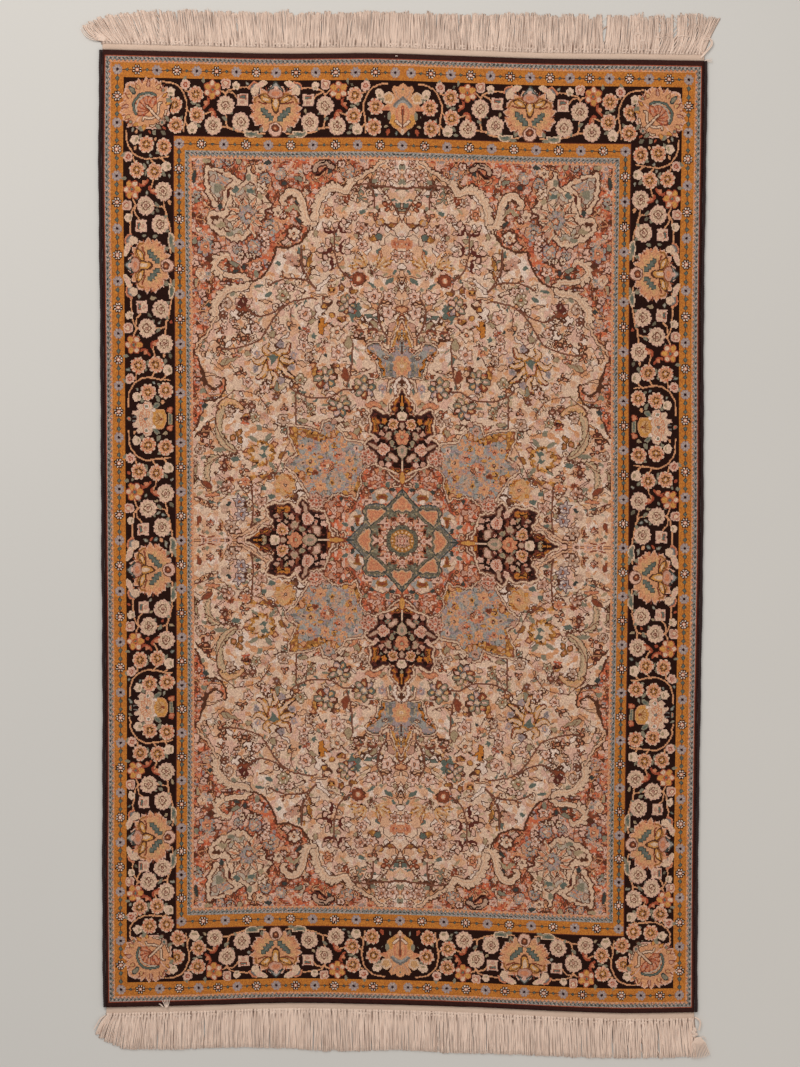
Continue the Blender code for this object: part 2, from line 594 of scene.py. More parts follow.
    def line(
        self, place: Place, points: Sequence[tuple[float, ...]], width: float, yarn: Yarn,
        edge: Yarn | None = None,
    ) -> None:
        """A line of yarn through some points, as a row of round dabs.

        Args:
            place: The axes that the points are in.
            points: Its points; a third number is the width there, as a share of width.
            width: Its width in mm.
            yarn: Its yarn.
            edge: A yarn for a one-knot edging, if any.
        """
        curve = smooth([(*point, 1.0)[:3] for point in points], 0.5)
        x, y = (place.axes @ curve[:, :2].T) + [[place.x], [place.y]]
        x, y = np.stack([x, y]) - self.waver * self.wander(x, y)
        half = np.maximum(width / 2 * curve[:, 2], 0.56 * KNOT)
        if edge is not None:
            self._dab(x, y, half + KNOT, edge)
        self._dab(x, y, half, yarn)

    def _dab(self, x: Array, y: Array, radius: Array, yarn: Yarn) -> None:
        """Sets the knots whose middles lie within a radius of each point.

        Args:
            x: The points' x, in mm.
            y: Their y.
            radius: A radius for each.
            yarn: Its own yarn.
        """
        reach = int(radius.max() / KNOT) + 1
        column = np.floor((x - self.x[0]) / KNOT + 0.5).astype(int)
        row = np.floor((y - self.y[0]) / KNOT + 0.5).astype(int)
        for dj in range(-reach, reach + 1):
            for di in range(-reach, reach + 1):
                i, j = column + di, row + dj
                hit = (i >= 0) & (i < len(self.x)) & (j >= 0) & (j < len(self.y))
                i, j, px, py, r = i[hit], j[hit], x[hit], y[hit], radius[hit]
                hit = np.hypot(self.x[i] - px, self.y[j] - py) <= r
                self.knots[j[hit], i[hit]] = yarn


# ---------------------------------------------------------------------------
# Flowers: each is drawn about its own middle, its heading along its up axis
# ---------------------------------------------------------------------------


@dataclass
class Flowers:
    """The rug's flowers and leaves, drawn on one chart.

    Args:
        chart: The chart that they are drawn on.
    """

    chart: Chart

    def daisy(self, p: Place, r: float) -> None:
        """A pink-edged flower: a cut rim, a ring of dark knots and a gold eye.

        Args:
            p: Its middle, with its heading along the up axis.
            r: Its radius, in mm.
        """
        c = self.chart
        c.fill(p, r, lobed(r * 1.02, 9, 0.19), CREAM, (r * 0.10, ROSE), (r * 0.22, PEACH))
        c.fill(p, r, petals(9, r * 0.80, r * 0.13, r * 0.07, 20), CORAL)
        c.fill(p, r, petals(9, r * 0.70, r * 0.11, r * 0.05, 0), SALMON)
        c.fill(p, r, toothed(r * 0.56, 8, 0.34, 22), BARK, (r * 0.10, OCHRE), (r * 0.20, AMBER))
        c.fill(p, r, petals(4, r * 0.30, r * 0.12, r * 0.09, 45), BARK)
        c.fill(p, r, disc(r * 0.16), ROSE)

    def rosette(self, p: Place, r: float) -> None:
        """A round ivory rosette: a finely cut rim and a small outlined flower in its middle.

        Args:
            p: Its middle, with its heading along the up axis.
            r: Its radius, in mm.
        """
        c = self.chart
        c.fill(p, r, lobed(r * 1.02, 13, 0.11), ROSE, (r * 0.12, CREAM))
        c.fill(p, r, petals(12, r * 0.74, r * 0.10, r * 0.05, 15), SAND)
        c.fill(p, r, lobed(r * 0.53, 4, 0.34, 0), UMBER, (r * 0.12, CREAM))
        c.fill(p, r, petals(4, r * 0.50, r * 0.08, r * 0.13, 45), OLIVE)
        c.fill(p, r, lobed(r * 0.22, 4, 0.3), UMBER, (r * 0.10, PINK))

    def lily_wheel(self, p: Place, r: float) -> None:
        """A six-petalled flower, its petals orange, coral and cream by turns, with a teal eye.

        Args:
            p: Its middle, with its heading along the up axis.
            r: Its radius, in mm.
        """
        c = self.chart
        c.fill(p, r, petals(6, r * 0.58, r * 0.40, r * 0.34, 30), (-0.6, BRICK), (0.6, SALMON))
        c.fill(p, r, petals(3, r * 0.62, r * 0.34, r * 0.27, 30), AMBER)
        c.fill(p, r, petals(3, r * 0.68, r * 0.24, r * 0.24, 90), CREAM)
        c.fill(p, r, lobed(r * 0.34, 6, 0.3, 30), BRICK, (r * 0.12, GOLD))
        c.fill(p, r, disc(r * 0.15), TEAL)

    def small_daisy(self, p: Place, r: float) -> None:
        """A small pink flower with a coral eye.

        Args:
            p: Its middle, with its heading along the up axis.
            r: Its radius, in mm.
        """
        c = self.chart
        c.fill(p, r, lobed(r, 7, 0.16), ROSE)
        c.fill(p, r, lobed(r * 0.52, 6, 0.3), BRICK, (r * 0.2, PINK))

    def bud(self, p: Place, r: float) -> None:
        """A round cream bud, shaded sand at its foot.

        Args:
            p: Its middle, with its heading along the up axis.
            r: Its radius, in mm.
        """
        c = self.chart
        c.fill(p, r, lobed(r, 5, 0.14, 90), IVORY)
        c.fill(p.at(0, -r * 0.35), r, oval(r * 0.45, r * 0.28), OLIVE)

    def square_bud(self, p: Place, r: float) -> None:
        """A bud opening square, with a teal bar between coral lips.

        Args:
            p: Its middle, with its heading along the up axis.
            r: Its radius, in mm.
        """
        c = self.chart
        c.fill(p, r * 1.3, block(r, r * 0.95), ROSE, (r * 0.22, CREAM))
        c.fill(p.at(0, r * 0.45), r, block(r * 0.52, r * 0.20), (-0.8, BRICK), TEAL)
        c.fill(p.at(0, -r * 0.35), r, oval(r * 0.42, r * 0.3), PINK)

    def tulip(self, p: Place, r: float) -> None:
        """A half-open flower seen from the side: a cream cup under a teal and a coral hood.

        Args:
            p: Its middle, with its heading along the up axis.
            r: Its radius, in mm.
        """
        c = self.chart
        c.fill(p, r * 1.2, above(disc(r), -r * 0.1), SALMON, (r * 0.2, BRICK))
        c.fill(p, r, above(disc(r * 0.72), -r * 0.1), PEWTER, (r * 0.24, MIST))
        c.fill(p.at(0, -r * 0.28), r, lobed(r * 0.66, 5, 0.16, 90), CREAM)

    def side_tulip(self, p: Place, r: float) -> None:
        """A small tulip seen from the side, pink with a coral rim.

        Args:
            p: Its middle, with its heading along the up axis.
            r: Its radius, in mm.
        """
        c = self.chart
        c.fill(p, r * 1.2, lobed(r, 4, 0.22, 45), ROSE, (r * 0.2, PINK))
        c.fill(p.at(0, r * 0.15), r, oval(r * 0.42, r * 0.36), (-0.9, BRICK), CREAM)

    def curled_bud(self, p: Place, r: float) -> None:
        """A coral bud curling over to one side.

        Args:
            p: Its middle, with its heading along the up axis.
            r: Its radius, in mm.
        """
        c = self.chart
        c.line(p, [(-r * 0.5, -r, 1), (-r * 0.1, -r * 0.1, 1.3), (r * 0.5, r * 0.3, 1.2),
                   (r * 0.9, r * 0.1, 0.5)], r * 0.42, BRICK)
        c.fill(p.at(r * 0.1, -r * 0.4), r, lobed(r * 0.42, 3, 0.3, 90), SALMON)

    def leaf(self, p: Place, length: float, width: float, yarn: Yarn) -> None:
        """A leaf from its stalk along its up axis, with a darker foot."""
        c = self.chart
        c.fill(p.at(0, 0, 90), length, blade(length, width, 0.45), yarn)

    def edged_leaf(self, p: Place, length: float, width: float, yarn: Yarn) -> None:
        """A leaf with a one-knot edging."""
        self.chart.fill(p.at(0, 0, 90), length + 2, blade(length, width, 0.45), (-KNOT, UMBER), yarn)

    def half_leaf(self, p: Place, r: float) -> None:
        """A cut leaf like a half moon, sage in a cream rim.

        Args:
            p: Its middle, with its heading along the up axis.
            r: Its radius, in mm.
        """
        c = self.chart
        c.fill(p, r * 1.2, lambda x, y: np.maximum(oval(r, r * 0.8)(x, y), y - r * 0.2), CREAM, (1.5, SAGE))
        c.fill(p.at(0, -r * 0.2), r, oval(r * 0.5, r * 0.22), TEAL)

    # The palmettes of the border ------------------------------------------------

    def great_palmette(self, p: Place) -> None:
        """A round cut fan in peach over teal steps, with a gold calyx of three lilies.

        Args:
            p: Its middle, with its heading along the up axis.
        """
        c = self.chart
        rim = either(toothed(34, 15, 0.20, 8), lobed(32, 6, 0.26, 90))
        c.fill(p.at(0, -1), 44, rim, ROSE, (1.6, PEACH))
        c.fill(p.at(0, -1), 42, toothed(25, 13, 0.3), APRICOT, (6, PEACH))
        c.fill(p.at(0, -1), 42, petals(15, 29, 3.4, 0.75, 20), RUST)
        for side in (-1, 1):
            for x, y, r in ((26, 8, 2.4), (29, -7, 2.2), (21, -20, 2.4), (13, 22, 2.0), (24, -13, 2.0),
                            (27, 1, 1.8)):
                c.fill(p.at(side * x, y), 5, lobed(r, 4, 0.3), SALMON)
            steps = ((5.4, -13, 2.2, 3.0), (8.8, -9, 3.0, 2.8), (12.6, -5, 3.0, 3.0), (15.8, -1, 2.2, 2.8))
            for x, y, a, b in steps:
                c.fill(p.at(side * x, y), 8, block(a + 0.8, b + 0.8), SLATE)
            for x, y, a, b in steps:
                c.fill(p.at(side * x, y), 8, block(a, b), TEAL, (2.0, PEWTER), (3.4, MIST))
            c.line(p, [(side * 3, 12), (side * 13, 20), (side * 24, 15), (side * 26, 8)], 2.6, OCHRE)
            c.line(p, [(side * 5, 9), (side * 13, 7), (side * 22, 10)], 2.6, RUST)
            c.fill(p.at(side * 12.5, 13, side * -58), 13, oval(3.0, 7.4), (-1.2, BARK), AMBER,
                   (1.4, CREAM))
        c.fill(p.at(0, 8), 18, oval(3.8, 10.5), (-1.6, BARK), (-0.2, AMBER), (1.4, CREAM))
        c.fill(p.at(0, 21), 14, oval(8.5, 6.5), (-1.2, RUST), PINK, (2.8, SALMON))
        c.fill(p.at(0, 30), 12, outline([(-9, -5), (0, 7), (9, -5), (0, 1)], False), (-1.2, SLATE),
               (0.4, MIST))
        c.fill(p.at(0, 29), 8, disc(2.6), ROSE)
        c.fill(p.at(0, -28), 14, oval(7.6, 9.0), (-1.2, UMBER), ROSE)
        c.fill(p.at(0, -26), 14, oval(4.6, 5.6), BARK, (1.6, RUST), (3.4, PEACH))

    def palmette_leaves(self, p: Place) -> None:
        """What lies round a great palmette: pairs of cream leaves above and cut leaves below.

        Args:
            p: Its middle, with its heading along the up axis.
        """
        c = self.chart
        for side in (-1, 1):
            c.fill(p.at(side * 19, 33, side * -28), 16, oval(9.5, 4.2), CREAM, (1.8, ROSE))
            self.half_leaf(p.at(side * 30, -32), 9.5)
            self.leaf(p.at(side * 15, -38, side * -80), 11, 5, SAGE)

    def small_palmette(self, p: Place) -> None:
        """A broad cream flower with cut petals on a gold heart, over a barred foot.

        Args:
            p: Its middle, with its heading along the up axis.
        """
        c = self.chart
        m = p.at(0, 6.4)
        heart = [(-12, -29), (-15, -22), (-12, -10), (12, -10), (15, -22), (12, -29), (0, -32)]
        c.fill(m, 40, outline(heart), PEACH, (1.4, AMBER), (6.0, APRICOT))
        for turn in (-50, -25, 0, 25, 50):
            c.fill(m.at(0, -24, turn).at(0, 7), 8, oval(0.8, 4.5), OCHRE)
        c.fill(m.at(0, -24), 6, lobed(3.0, 4, 0.3), RUST)
        half = [
            (4, 15), (8, 21), (13, 19), (12, 12), (18, 15), (23, 11), (21, 4), (27, 1), (25, -8), (18, -11),
            (12, -9), (6, -12),
        ]
        c.fill(m, 40, outline(mirrored([(0, 13), *half, (0, -10)]), False), ROSE, (1.2, CREAM))
        for turn, reach in ((-78, 16), (-48, 12), (-20, 10), (20, 10), (48, 12), (78, 16), (112, 11),
                            (-112, 11)):
            c.cell(m.at(0, 0, turn).at(0, reach * 0.62), 14, oval(3.3, reach * 0.5), SALMON, CREAM)
            c.fill(m.at(0, 0, turn).at(0, reach * 0.75), 8, oval(0.7, 2.6), PEACH)
        for side in (-1, 1):
            c.fill(m.at(side * 18, -1), 8, disc(4.8), SALMON, (1.0, CHALK), (2.6, SAGE))
            c.fill(m.at(side * 13, -12), 6, lobed(3.6, 4, 0.34), CHALK)
            c.fill(m.at(side * 19, -16, side * 35), 10, oval(3.2, 6.4), SAGE, (1.4, TEAL))
            c.fill(m.at(side * 2.6, 17.5), 5, block(1.0, 3.2), PEWTER)
            c.fill(p.at(side * 14.0, -31), 8, lobed(5.2, 3, 0.25, 90), BRICK, (1.4, SALMON))
            self.leaf(p.at(side * 25, -15, side * -60), 12, 6, SAGE)
        c.fill(m, 8, lobed(3.0, 6, 0.2), PEWTER, (1.5, SAGE))
        c.fill(m.at(0, 26), 9, oval(4.2, 3.0), SAGE, (1.3, CORAL))
        c.fill(p.at(0, -31), 12, block(9.0, 2.8), OLIVE, (1.0, SAGE))
        for k in (-6, -2, 2, 6):
            c.fill(p.at(k, -31), 4, lobed(1.6, 4, 0.3), TEAL)

    def corner_palmette(self, p: Place) -> None:
        """A broad cut fan that opens to its up axis: a teal arc over a coral flower and cream lilies.

        Args:
            p: Its middle, with its heading along the up axis.
        """
        c = self.chart
        half = [
            (0, 44), (14, 36), (22, 27), (34, 22), (39, 8), (35, -4), (33, -16), (24, -24), (14, -34),
            (0, -36),
        ]
        c.fill(p.at(0, 2), 60, outline(mirrored(half)), ROSE, (2.0, PEACH))
        c.fill(p, 52, above(toothed(44, 22, 0.20), -4), ROSE, (1.8, PEACH))
        c.fill(p, 52, above(petals(22, 38, 4.2, 0.8, 8), -4), RUST)
        for side in (-1, 1):
            for x, y, turn, length, yarn in (
                (8, 26, 20, 10, APRICOT), (20, 20, 48, 11, PINK), (28, 8, 72, 10, APRICOT),
                (27, -6, 95, 9, AMBER), (22, -16, 120, 10, AMBER), (32, 0, 60, 6, SAGE),
            ):
                c.fill(p.at(side * x, y, 90 - side * turn), 13, blade(length, 5.6, 0.4), (-0.9, RUST),
                       (0.5, yarn))
        for turn in (-75, -50, -25, 0, 25, 50, 75):
            c.fill(p.at(0, -4, turn).at(0, 11), 14, oval(3.8, 8.8), (-1.0, RUST), (0.3, SALMON),
                   (2.2, PINK))
        arc = [(-21, 4), (-17, 12), (-10, 18), (0, 21), (10, 18), (17, 12), (21, 4)]
        c.line(p, arc, 4.4, SLATE)
        c.line(p, arc, 2.4, TEAL)
        c.line(p, [(-17, 6), (-12, 12), (0, 16), (12, 12), (17, 6)], 2.2, ASH)
        for side in (-1, 1):
            c.line(p, [(0, -20), (side * 8, -16), (side * 15, -9), (side * 20, -10, 0.7)], 2.8, CREAM, BARK)
            c.line(p, [(side * 4, -30), (side * 11, -28), (side * 17, -24, 0.7)], 2.4, CREAM, BARK)
            c.fill(p.at(side * 9, -33), 6, oval(2.6, 4.2), (-0.8, BARK), SAGE)
            c.fill(p.at(side * 30, -16), 6, oval(3.0, 4.6), SAGE)
        c.line(p, [(0, -26), (0, -12), (0, 2, 0.7)], 3.0, CREAM, BARK)
        for x, y in ((-8, 2), (8, 3), (-13, -4), (13, -5)):
            c.fill(p.at(x, y), 5, lobed(2.2, 4, 0.3), BRICK)
        c.fill(p.at(0, -31), 8, lobed(4.8, 4, 0.2), (-1.0, BARK), SAND, (2.2, TEAL))
        c.fill(p.at(0, 33), 9, oval(3.6, 5.5), (-0.9, SLATE), (0.6, SAGE))

    def lotus(self, p: Place) -> None:
        """The upright lotus at the middle of an end border: three crowns over a coral flame.

        Args:
            p: Its middle, with its heading along the up axis.
        """
        c = self.chart
        half = [
            (-2, 38), (4, 35), (8, 31), (14, 34), (18, 28), (14, 19), (21, 24), (28, 20), (30, 10), (24, 6),
            (32, 0), (22, -3), (18, -10), (22, -22), (13, -30), (6, -34), (0, -42),
        ]
        c.fill(p, 50, outline(mirrored(half), False), PEACH)
        for side in (-1, 1):
            c.fill(p.at(side * 23, 15), 14, lobed(9, 5, 0.2, 90), CREAM, (3, APRICOT))
            c.fill(p.at(side * 27, -1), 10, outline([(-6, 5), (7, -1), (-6, -4)], False), SALMON)
            c.line(p, [(0, 15.5), (side * 8, 10), (side * 14, 4)], 4.2, PEWTER)
            c.line(p, [(0, 11.5), (side * 7, 7), (side * 12, 2.5)], 3.4, MIST)
            c.line(p, [(side * 15, -12), (side * 17, -20), (side * 10, -27)], 6.5, AMBER)
            c.line(p, [(side * 1, -27), (side * 7, -22), (side * 11, -19)], 3.2, IVORY, UMBER)
            c.line(p, [(side * 8, 0), (side * 10, -8), (side * 8, -16)], 3.4, SALMON)
            c.fill(p.at(side * 21, -12), 8, oval(3.0, 5.5), SAGE)
            c.line(p, [(side * 12, 28), (side * 10, 20), (side * 5, 15)], 1.4, SAND)
        c.fill(p.at(0, 27), 10, outline([(-4, -5), (0, 7), (4, -5)], False), APRICOT)
        c.fill(p.at(0, 28), 6, disc(2.0), TEAL)
        c.fill(p.at(0, -4), 16, oval(3.6, 9.5), BRICK, (1.2, SALMON))
        c.line(p, [(0, -33), (0, -18), (0, -3)], 3.0, CHALK, UMBER)
        c.fill(p.at(0, -35), 8, oval(4.0, 5.0), CREAM, (2.2, PINK))


# ---------------------------------------------------------------------------
# The borders
# ---------------------------------------------------------------------------


@dataclass
class Run:
    """One stretch of the main border, from a great palmette to the small or corner one beyond.

    Args:
        base: The foot of the great palmette on the border's inner edge; its x axis runs along.
        length: From one palmette's middle to the next, in mm.
        depth: The border's depth from inner to outer edge, in mm.
    """

    base: Place
    length: float
    depth: float

    LONG, DEEP = 230, 75  # the tables below are for a stretch of these sizes, along and across
    # A bloom is its kind, its place along and across, its turn in degrees and its radius; a
    # vine is its points; a leaf is its place, its turn and its length.
    BLOOMS = (
        ("tulip", 39, 64, 0, 10.0),
        ("rosette", 65, 20, 0, 13.2),
        ("square_bud", 62, 49, 0, 8.5),
        ("bud", 75, 68, 0, 6.0),
        ("rosette", 94, 41.5, 0, 13.2),
        ("side_tulip", 94, 70, 0, 8.0),
        ("rosette", 117, 14.5, 0, 13.2),
        ("lily_wheel", 119, 62, 0, 13.5),
        ("curled_bud", 117, 33, 0, 8.0),
        ("curled_bud", 127, 44, 70, 8.0),
        ("daisy", 148, 28, 0, 12.0),
        ("daisy", 150, 55, 0, 12.0),
        ("bud", 156, 10, 0, 8.0),
        ("small_daisy", 170, 68, 0, 7.5),
        ("daisy", 187, 13.5, 0, 12.0),
        ("daisy", 190, 40.5, 0, 12.0),
        ("bud", 197, 58, 0, 7.0),
    )
    VINES = (
        ((20, 5), (40, 3), (64, 6), (88, 12), (93, 20), (94, 40)),
        ((66, 8), (90, 12), (104, 14)),
        ((94, 50), (94, 58), (80, 57), (72, 51)),
        ((94, 56), (86, 62), (60, 66), (44, 64)),
        ((94, 56), (100, 60), (110, 62)),
        ((122, 33), (134, 29), (148, 28), (162, 31), (168, 36)),
        ((172, 6), (170, 22), (167, 38), (170, 52), (178, 62), (192, 69), (212, 71)),
        ((170, 60), (160, 58), (150, 55)),
        ((156, 10), (166, 14), (171, 20)),
    )
    LEAVES = (
        (54, 6, -20, 11), (28, 6, 20, 13), (100, 27, 130, 10), (80, 30, -60, 9), (80, 8, 40, 10),
        (130, 6, 30, 12), (104, 54, -60, 8), (136, 70, 0, 9), (160, 44, 100, 9), (176, 26, -150, 9),
        (176, 70, 30, 11), (205, 27, -70, 12), (206, 48, 60, 9), (150, 41, 90, 8), (140, 12, -60, 9),
    )

    def at(self, along: float, out: float, turn: float = 0.0) -> Place:
        """A flower's place on the run, its rows as tall as the loom makes them."""
        place = self.base.at(along * self.length / self.LONG, out * self.depth / self.DEEP, turn)
        return Place(place.x, place.y, np.diag((1.0, 1.07)) @ place.axes)

    def draw(self, chart: Chart) -> None:
        """Draws the vines, then the leaves, then the flowers over them.

        Args:
            chart: The chart that it is drawn on.
        """
        flowers = Flowers(chart)
        for vine in self.VINES:
            steps = [(a * self.length / self.LONG, o * self.depth / self.DEEP) for a, o in vine]
            chart.line(self.base, steps, 2.2, PEACH)
        for along, out, turn, length in self.LEAVES:
            flowers.leaf(self.at(along, out, turn), length, length * 0.5, SAGE)
        for name, along, out, turn, size in self.BLOOMS:
            getattr(flowers, name)(self.at(along, out, turn), size)


@dataclass
class Guard:
    """A gold guard stripe: a dark middle line, green lozenges and two kinds of rosette by turns.

    Args:
        start: The first rosette's place, its x axis along the stripe.
        spacing: From rosette to rosette, in mm.
        count: How many there are.
        lozenges: How many lozenges lie between two rosettes.
    """

    start: Place
    spacing: float
    count: int
    lozenges: int = 1

    def draw(self, chart: Chart) -> None:
        """Draws the stripe's line, lozenges and rosettes over its gold ground.

        Args:
            chart: The chart that it is drawn on.
        """
        end = self.spacing * (self.count - 1)
        chart.line(self.start, [(0, 0), (end / 2, 0), (end, 0)], 1.5, BARK)
        for k in range(self.count):
            here = self.start.at(k * self.spacing, 0)
            if k < self.count - 1:
                for step in range(self.lozenges):
                    middle = here.at(self.spacing * (step + 1) / (self.lozenges + 1), 0)
                    size = 3.4 if self.lozenges == 1 else 4.6
                    chart.fill(middle, 6, lambda x, y: np.abs(x) + np.abs(y) * 1.25 - size, SLATE,
                               (1.6, TEAL))
            if k % 2:
                chart.fill(here, 9, disc(5.4), ROSE)
                chart.fill(here, 9, petals(8, 5.3, 2.9, 2.1, 22), NIGHT, (1.1, CHALK))
                chart.fill(here, 9, disc(3.0), SALMON, (1.3, CHALK))
            else:
                chart.fill(here, 9, lobed(7.9, 8, 0.20, 22), LILAC)
                chart.fill(here, 9, petals(8, 4.9, 1.7, 0.7, 22), ASH)
                chart.fill(here, 9, disc(2.1), NIGHT)


@dataclass
class Borders:
    """The stripes round the field, on a chart of the rug's right half.

    The depths run inward from the edge of the pile, in mm, at a long side and at an end.
    """

    chart: Chart
    dark: tuple[float, float] = (3.6, 7.6)
    red: tuple[float, float] = (4.9, 8.9)
    outer_teeth: tuple[float, float] = (10.6, 14.0)
    outer_peach: tuple[float, float] = (14.2, 17.4)
    outer_gold: tuple[float, float] = (32.4, 38.8)
    outer_line: tuple[float, float] = (33.7, 40.1)
    main: tuple[float, float] = (108.6, 123.4)
    inner_line: tuple[float, float] = (109.9, 124.7)
    inner_gold: tuple[float, float] = (126.4, 145.4)
    inner_teeth: tuple[float, float] = (132.4, 151.8)
    inner_peach: tuple[float, float] = (137.0, 156.6)
    grain: np.random.Generator = field(default_factory=lambda: np.random.default_rng(41))

    def ring(self, at: tuple[float, float]) -> tuple[float, float]:
        """The half width and half length left inside a depth."""
        return HALF_WIDTH - at[0], HALF_LENGTH - at[1]

    def paint_inside(self, at: tuple[float, float], yarn: Yarn) -> None:
        """Fills all that lies inside a depth.

        Args:
            at: The depth at a long side and at an end, in mm.
            yarn: Its own yarn.
        """
        wide, tall = self.ring(at)
        c = self.chart
        c.knots[np.ix_(np.abs(c.y) < tall, np.abs(c.x) < wide)] = yarn

    def draw_stripes(self) -> None:
        """Lays the plain stripes from the edge inward, and the toothed ones between them."""
        steps = [
            ((0.0, 0.0), MAROON), (self.dark, BRICK), (self.red, MIST), (self.outer_teeth, PEACH),
            (self.outer_peach, GOLD), (self.outer_gold, NIGHT), (self.main, WINE),
            (self.inner_line, GOLD), (self.inner_gold, MIST), (self.inner_teeth, PEACH),
        ]
        for at, yarn in steps:
            self.paint_inside(at, yarn)
        self.draw_teeth(self.red, self.outer_teeth, self.outer_peach)
        self.draw_teeth(self.inner_gold, self.inner_teeth, self.inner_peach)
        c = self.chart
        c.mottle([GOLD], AMBER, 6.0, 1.0, 401)
        c.mottle([GOLD], OCHRE, 4.0, 1.45, 402)
        for grounds, yarn, share in (
            ([MIST, PEACH], ROSE, 0.10), ([MIST], PEWTER, 0.14), ([PEACH], CORAL, 0.10),
            ([MIST], TEAL, 0.08),
        ):
            c.knots[c.holds(grounds) & (self.grain.uniform(0, 1, c.knots.shape) < share)] = yarn

    def draw_teeth(
        self, blue: tuple[float, float], teeth: tuple[float, float], peach: tuple[float, float]
    ) -> None:
        """Works a toothed stripe: dark dashes stand in the blue, and peach teeth bite into it.

        A tooth is a triangle wave along the stripe; the blue beyond it is edged with dark knots.

        Args:
            blue: The depths at which the blue begins.
            teeth: Those about which the teeth turn.
            peach: Those at which the peach ends.
        """
        c = self.chart
        x, y = np.meshgrid(c.x, c.y)
        for axis, (here, along) in enumerate((((HALF_WIDTH - np.abs(x)), y), ((HALF_LENGTH - np.abs(y)), x))):
            other = (HALF_LENGTH - np.abs(y), HALF_WIDTH - np.abs(x))[axis]
            start, turn, end = blue[axis], teeth[axis], peach[axis]
            near = (here > start) & (here < end) & (other - blue[1 - axis] >= here - start)
            period = 8.0 if axis == 0 else 6.4
            wave = np.abs((along / period) % 1 - 0.5) * 2
            edge = turn + (wave - 0.5) * (end - start) * 0.34
            dark = near & (np.abs(here - edge) < 0.8)
            c.knots[near & (here >= edge)] = PEACH
            c.knots[near & (here < edge)] = MIST
            c.knots[dark] = PEWTER
            dash = near & (np.abs(here - (start + turn) / 2) < 0.9) & (((along + here) / period) % 1 < 0.42)
            c.knots[dash] = SLATE

    def draw_guards(self) -> None:
        """Sets the rosettes of both gold guards, which share their corner ones."""
        for outer, gold, ends, sides, gap in (
            (self.outer_peach, self.outer_gold, 14, 36, 12.0), (self.inner_line, self.inner_gold, 10, 32, 0.0)
        ):
            x = HALF_WIDTH - (outer[0] + gold[0]) / 2
            y = HALF_LENGTH - (outer[1] + gold[1]) / 2
            for side in (-1, 1):
                step = (x - gap) / ends
                Guard(spot(gap, side * y), step, ends + 1).draw(self.chart)
            Guard(spot(x, y, -90), 2 * y / sides, sides + 1, 2).draw(self.chart)

    def draw_main(self) -> None:
        """Draws the main border's palmettes and the runs of flowers between them."""
        c, flowers = self.chart, Flowers(self.chart)
        inner_x, inner_y = self.ring(self.main)
        deep_x, deep_y = self.main[0] - self.outer_line[0], self.main[1] - self.outer_line[1]
        # Great palmettes stand at these places along the side, with small ones between them.
        great = (415.0, -45.0, -462.0)
        small = (185.0, -258.0)
        corner = 632.0
        for y in great:
            for step in (1, -1):
                nearest = min((s for s in (*small, corner, -corner) if (s - y) * step > 0),
                              key=lambda s: abs(s - y))
                base = Place(inner_x, y, np.array([[0.0, 1.0], [float(step), 0.0]]))
                Run(base, abs(nearest - y), deep_x).draw(c)
        for side in (-1, 1):
            for step, length in ((1, 186.0), (-1, 184.0)):
                base = Place(193.0, side * inner_y, np.array([[float(step), 0.0], [0.0, float(side)]]))
                Run(base, length, deep_y).draw(c)
        for y in great:
            place = Place(inner_x + deep_x * 0.50, y, np.array([[0.0, 1.0], [-1.26, 0.0]]))
            flowers.palmette_leaves(place)
            flowers.great_palmette(place)
        for y in small:
            flowers.small_palmette(Place(inner_x + deep_x * 0.50, y, np.array([[0.0, 1.0], [-1.0, 0.0]])))
        for side in (-1, 1):
            up = np.diag((1.0, float(side)))
            place = Place(193.0, side * (inner_y + deep_y * 0.50), up * ((1.22,), (1.08,)))
            flowers.palmette_leaves(place)
            flowers.great_palmette(place)
            middle = Place(-1.0, side * (inner_y + deep_y * 0.52), up)
            c.fill(middle, 60, oval(30, 40), NIGHT)
            flowers.lotus(middle)
            corner_place = Place(inner_x + deep_x * 0.52, side * (inner_y + deep_y * 0.50),
                                 up @ spot(0, 0, -45).axes)
            c.fill(corner_place, 60, disc(36), NIGHT)
            flowers.corner_palmette(corner_place)

    def fill_gaps(self) -> None:
        """Sets small leaves and buds wherever the main border's dark ground is left open."""
        c = self.chart
        rng = np.random.default_rng(29)
        wide, tall = self.ring(self.outer_line)
        for size, tries in ((6.4, 1500), (5.0, 2200), (4.0, 1500)):
            for _ in range(tries):
                at_side = rng.uniform() < 0.68
                x = rng.uniform(wide - 74, wide) if at_side else rng.uniform(0, wide)
                end = rng.uniform(-tall, tall) if at_side else rng.choice((-1, 1))
                y = end if at_side else end * rng.uniform(tall - 82, tall)
                place, pick = spot(x, y, rng.uniform(0, 360)), rng.integers(0, 8)
                knots, gx, gy = c.window(place, size)
                if not knots.size or (knots[np.hypot(gx, gy) < size] != NIGHT).any():
                    continue
                yarn = (SAGE, TEAL, SAGE, MOSS, OLIVE, BRICK, SAGE, PEACH)[pick]
                shape = blade(size * 1.7, size * 0.95, 0.42)
                c.fill(place.at(-size * 0.85, 0), size * 2, shape, yarn,
                       (size * 0.26, MIST if pick < 3 else yarn))

    def draw(self) -> None:
        """Draws everything outside the field."""
        self.draw_stripes()
        self.draw_guards()
        self.chart.waver = 0.8
        self.draw_main()
        self.fill_gaps()
        self.chart.waver = 0.0


# ---------------------------------------------------------------------------
# The field: one quarter of it is drawn, and the loom turns it over twice
# ---------------------------------------------------------------------------


